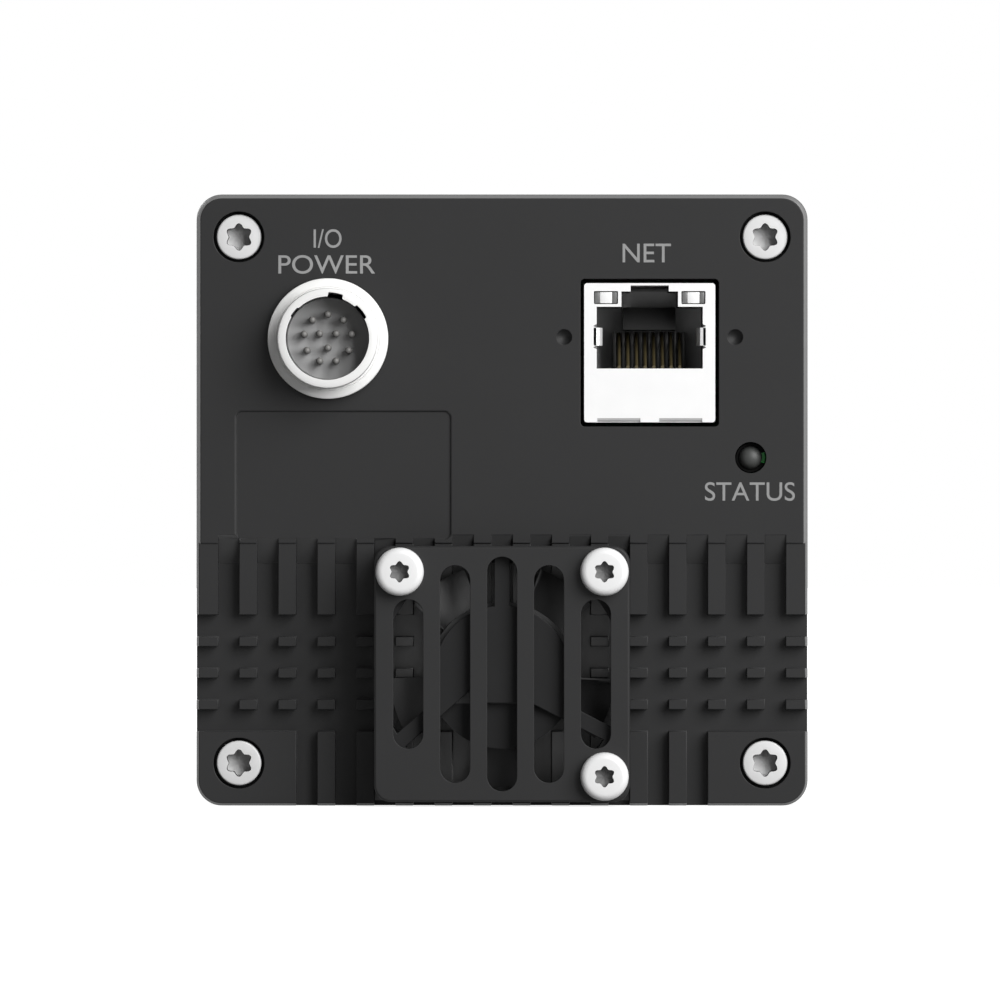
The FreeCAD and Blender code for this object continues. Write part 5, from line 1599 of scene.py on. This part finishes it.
    def add_insert(self) -> None:
        """The insert, made lighter than its black plastic as painted light in the port, with the
        ramp over the contacts and the comb between them.
        """
        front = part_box("net_insert")[0].y
        bm = bmesh.new()
        absorb(bm, dressed("net_insert", "net_jack_insert", [self.shelf["jack_plastic"]],
                           self.insert_edge))
        self.add_ramp(bm, front)
        self.show("net_jack_insert", bm, "jack_plastic", "net_insert",
                  finishes=("jack_plastic", "jack_ramp"))
        tooth = bmesh.new()
        half = ACROSS * self.tooth_half
        block(tooth, -half, half + Vector((0, self.tooth_depth, self.tooth_height)),
              self.tooth_edge)
        first = self.centre + Vector((-self.contact_pitch * self.contacts / 2, 0, self.port_low))
        first.y = front + self.tooth_start
        comb = row_tree().run("net_jack_comb", Piece=mesh_piece("tooth", tooth, []),
                              Finish=self.shelf["jack_comb"], Count=self.contacts + 1,
                              First=first, Step=ACROSS * self.contact_pitch)
        seat(comb, "jack_plastic", Body.CAMERA)

    def add_ramp(self, bm: bmesh.types.BMesh, front: float) -> None:
        """The sloping block above the contacts."""
        low, high = self.centre.z + self.ramp_low, self.centre.z + self.port_high
        heights = (low, low, low, high, high)
        sides = [[bm.verts.new((self.centre.x + side * self.ramp_half, front + depth, height))
                  for depth, height in zip(self.ramp_depths, heights)] for side in SIDES]
        faces = [bm.faces.new(sides[0]), bm.faces.new(sides[1][::-1]), *join(bm, *sides)]
        bmesh.ops.recalc_face_normals(bm, faces=faces)
        for face in faces:
            face.material_index = 1

    def add_contacts(self) -> None:
        """The eight gold wires, which rise towards the back of the port."""
        low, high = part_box("net_contacts")
        curve = bpy.data.curves.new("wire", "CURVE")
        curve.dimensions = "3D"
        curve.bevel_depth = self.contact_radius
        curve.bevel_resolution = BEVEL_STEPS
        curve.use_fill_caps = True
        floor, top = low.z + self.contact_radius, high.z - self.contact_radius
        draw(curve, [(0, low.y + (high.y - low.y) * along, floor + (top - floor) * rise)
                     for along, rise in self.contact_route])
        first = self.centre.x - self.contact_pitch * (self.contacts - 1) / 2
        wires = row_tree().run("net_jack_contacts", Piece=plain(put("wire", curve), "wire"),
                               Finish=self.shelf["gold_contacts"], Count=self.contacts,
                               First=ACROSS * first, Step=ACROSS * self.contact_pitch)
        for face in wires.data.polygons:
            face.use_smooth = True
        seat(wires, "gold_contacts", Body.CAMERA, "net_contacts")

    def add_lights(self) -> None:
        """The two milky light pipes behind the windows, with their ends darkened as painted shade.
        """
        low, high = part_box("net_lights")
        half, rise = self.light_width / 2 - self.light_gap, self.light_height / 2 - self.light_gap
        core = self.light_core
        bm = bmesh.new()
        for side in SIDES:
            x = self.centre.x + self.light_spacing / 2 * side
            z = self.centre.z + self.light_rise
            # The end blocks get the dark finish, as painted shade.
            for near, far, material in ((-half, -core, 1), (-core, core, 0), (core, half, 1)):
                block(bm, Vector((x + near, low.y, z - rise)), Vector((x + far, high.y, z + rise)),
                      self.light_edge, material)
        self.show("net_jack_lights", bm, "light_windows", "net_lights",
                  finishes=("light_windows", "light_ends_shade"))


@dataclass
class StatusLight(Assembly):
    """The domed light pipe in its hole."""

    edge: float = 0.1 * MM
    dome_radius: float = 1.38 * MM
    dome_height: float = 1.3 * MM
    collar: float = 0.15 * MM
    dome_steps: int = 9
    glint_spread: float = 0.35
    steps: int = 64

    def build(self) -> None:
        """Make the pipe with its round dome, with a painted green glint on the +X side of the dome's
        foot and painted shade round the rest of it.
        """
        low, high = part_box("status_light")
        radius, length = (high.x - low.x) / 2, high.y - low.y
        centre = middle("status_light")
        centre.y = high.y
        shoulder = length - self.dome_height
        rows = [(0.0, 0.0), (0.0, radius), (shoulder - self.edge, radius),
                (shoulder, radius - self.edge)]
        rows += [(shoulder + self.dome_height * math.sin(turn), self.dome_radius * math.cos(turn))
                 for turn in quarter(self.dome_steps)[:-1]] + [(length, 0.0)]
        bm = bmesh.new()
        turned_mesh(bm, rows, self.steps)
        for face in bm.faces:
            spot = face.calc_center_median()
            # Round the dome's foot: a painted green glint towards +X, painted shade elsewhere.
            if spot.y > -shoulder - self.collar:
                glinted = abs(math.atan2(spot.z, spot.x)) < self.glint_spread
                face.material_index = 1 if glinted else 2
        self.show("status_light_pipe", settle(bm, centre), "status_lens", "status_light",
                  finishes=("status_lens", "status_green_glint", "status_bore_shade"))


@dataclass
class Fan(Assembly):
    """The fan: its frame, its bladed rotor and the slotted plate over it."""

    guard_edge: float = 0.05 * MM
    frame_edge: float = 0.08 * MM
    cup_radius: float = 8.6 * MM
    cup_wall: float = 0.8 * MM
    cup_edge: float = 0.4 * MM
    cup_round: float = 0.12 * MM
    cup_steps: int = 96
    floor: float = 0.8 * MM
    height: float = 4.6 * MM
    blades: int = 5
    first_blade: float = math.radians(-18)
    blade_steps: int = 10
    blade_root: float = 0.6
    blade_reach: float = 13.2 * MM
    blade_margin: float = 1.05 * MM
    blade_thickness: float = 0.5 * MM
    blade_bow: float = 0.35
    edge_thickness: float = 0.35
    thickest: float = 0.12
    root_spread: float = 2.2 * MM
    tip_spread: float = 3.6 * MM
    hub_flat: float = 3.3 * MM
    step_gap: float = 0.45 * MM
    step_thickness: float = 0.35 * MM
    arc_steps: int = 32

    def build(self) -> None:
        """Make the fan's pieces."""
        self.coat("fan_guard", "fan_guard_plate", "guard_plate", self.guard_edge)
        self.coat("fan_frame", "fan_frame_moulding", "fan_plastic", self.frame_edge)
        self.add_hub_step()
        self.add_rotor()

    def add_hub_step(self) -> None:
        """The lower step of the hub, below its flat, which covers the cup's rim."""
        centre = middle("fan_rotor")
        centre.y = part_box("fan_rotor")[0].y - self.step_gap
        half = math.sqrt(self.cup_radius ** 2 - self.hub_flat ** 2)
        start = math.atan2(-self.hub_flat, half)
        turns = [start - (math.pi + 2 * start) * i / self.arc_steps
                 for i in range(self.arc_steps + 1)]
        outline = [(self.cup_radius * math.cos(turn), self.cup_radius * math.sin(turn))
                   for turn in turns]
        plate = outline_plate("fan_hub_step", [outline], self.step_thickness)
        plate.data.transform(Matrix.Translation(centre))
        plate.data.materials.append(self.shelf["fan_plastic"])
        seat(plate, "fan_plastic", Body.CAMERA)

    def add_rotor(self) -> None:
        """The cup and its curved blades, as one moulding."""
        centre = middle("fan_rotor")
        centre.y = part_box("fan_rotor")[1].y
        radius, inner = self.cup_radius, self.cup_radius - self.cup_wall
        cup = bmesh.new()
        turned_mesh(cup, [(0.0, 0.0), (0.0, radius - self.cup_edge),
                          (self.cup_round, radius - self.cup_round), (self.cup_edge, radius),
                          (self.height, radius), (self.height, inner),
                          (self.floor, inner), (self.floor, 0.0)], self.cup_steps)
        settle(cup, centre)
        absorb(cup, ring_tree().run("blades", Piece=self.one_blade(), Count=self.blades,
                                    Finish=self.shelf["rotor_plastic"], Start=self.first_blade,
                                    Centre=centre))
        self.show("fan_rotor_moulding", cup, "rotor_plastic", "fan_rotor", body=Body.ROTOR)

    def blade_spot(self, side: int, share: float, along: float) -> Vector:
        """A place on one face of a blade.

        Args:
            side: Which face, as -1 or 1.
            share: The share of the way from the cup to the tip.
            along: The share of the way from the blade's front edge to its rear edge.

        Returns:
            The place, about the rotor's centre.
        """
        start = self.cup_radius - self.cup_wall * self.blade_root
        reach = start + (self.blade_reach - start) * share
        spread = self.root_spread + (self.tip_spread - self.root_spread) * share
        bow = self.blade_bow * spread * math.sin(math.pi * along)
        turn = ((2 * along - 1) * spread + bow) / reach
        swell = (1 - self.edge_thickness) * math.sin(math.pi * min(along + self.thickest, 1.0))
        thick = side * self.blade_thickness / 2 * (self.edge_thickness + swell)
        rise = self.blade_margin + (self.height - 2 * self.blade_margin) * along
        return Vector((reach * math.cos(turn) - thick * math.sin(turn), -rise,
                       reach * math.sin(turn) + thick * math.cos(turn)))

    def one_blade(self) -> bpy.types.Object:
        """A blade that twists and widens from the cup to its tip."""
        bm = bmesh.new()
        steps = self.blade_steps
        sheets = [[[bm.verts.new(self.blade_spot(side, i / steps, k / steps))
                    for k in range(steps + 1)] for i in range(steps + 1)] for side in SIDES]
        for sheet in sheets:
            for near, far in zip(sheet, sheet[1:]):
                for k in range(steps):
                    bm.faces.new((near[k], near[k + 1], far[k + 1], far[k]))
        spans = [(i, i + 1) for i in range(steps)]
        rims = [((i, end), (k, end)) for end in (0, steps) for i, k in spans]
        rims += [((end, i), (end, k)) for end in (0, steps) for i, k in spans]
        for (i, k), (m, n) in rims:
            bm.faces.new((sheets[0][i][k], sheets[0][m][n], sheets[1][m][n], sheets[1][i][k]))
        return mesh_piece("blade", settle(bm, Vector()), [])


@dataclass
class LensSide(Assembly):
    """The threaded lens mount and the image sensor behind it."""

    mount_edge: float = 0.08 * MM
    sensor_edge: float = 0.05 * MM
    ridge_radius: float = 20.533 * MM
    pitch: float = 1.0 * MM
    ridge: float = 0.33 * MM
    turns: float = 4.6
    thread_start: float = -0.7 * MM

    def build(self) -> None:
        """Make the mount with its thread, and dress the sensor."""
        self.coat("lens_mount", "lens_mount_ring", "mount_ring", self.mount_edge)
        thread = thread_tree().run(
            "lens_mount_thread", Finish=self.shelf["mount_ring"], Turns=self.turns,
            Radius=self.ridge_radius, Pitch=self.pitch, Ridge=self.ridge,
            Centre=Vector((0, self.thread_start, 0)))
        seat(thread, "mount_ring", Body.CAMERA)
        for node, slot in (("sensor_mask", "mask_black"), ("sensor_package", "ceramic"),
                           ("sensor_glass", "cover_glass")):
            self.coat(node, f"{node}_piece", slot, self.sensor_edge)


@dataclass
class CarriedNodes(Assembly):
    """Every node that keeps its own solid, which gets the finish of its slot."""

    def build(self) -> None:
        """Give the finish of its slot to each node that still shows."""
        slots = {row["node"]: row["material_slot"] for row in frame["record"]["subparts"]}
        for name, node in frame["nodes"].items():
            if node.hide_render:
                continue
            material = self.shelf[slots[name]]
            for place in node.material_slots:
                place.material = material
            LOG.info("%s keeps its solid, in %s", name, material.name)


def cover_screws(shelf: FinishShelf, inset: float = 2.58 * MM) -> LobedScrews:
    """The four screws in the cover's corners, an inset from the outside of their node."""
    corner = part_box("cover_screws")[1]
    places = [((corner.x - inset) * i, (corner.z - inset) * k) for i in SIDES for k in SIDES]
    return LobedScrews(
        shelf, "cover_screws", HeadStyle.CYLINDER, places, "corner_screws", "screw_recess",
        head_radius=2.64 * MM, head_height=2.4 * MM, recess_radius=1.62 * MM,
        recess_depth=2.1 * MM)


def fan_screws(shelf: FinishShelf, hole: float = 12.0 * MM) -> LobedScrews:
    """The fan's three screws, whose holes lie that far from its middle along X and Z."""
    fan = middle("fan_frame")
    places = [(fan.x + hole * i, fan.z + hole * k) for i, k in ((-1, 1), (1, 1), (1, -1))]
    # The fan screws' recess floors are darker than their heads, as painted shade.
    return LobedScrews(
        shelf, "fan_screws", HeadStyle.PAN, places, "bright_screws", "fan_screw_recess_shade",
        head_radius=2.83 * MM, head_height=2.0 * MM, recess_radius=1.25 * MM,
        recess_depth=1.3 * MM)


def main() -> None:
    """Build the scene, piece by piece."""
    logging.basicConfig(level=logging.INFO, format="%(name)s: %(message)s")
    shelf = FinishShelf()
    Studio().build()
    for group in (Casing(shelf), cover_screws(shelf), fan_screws(shelf), RoundReceptacle(shelf),
                  NetworkJack(shelf), StatusLight(shelf), Fan(shelf), LensSide(shelf),
                  CarriedNodes(shelf)):
        group.build()


if __name__ == "__main__":
    main()
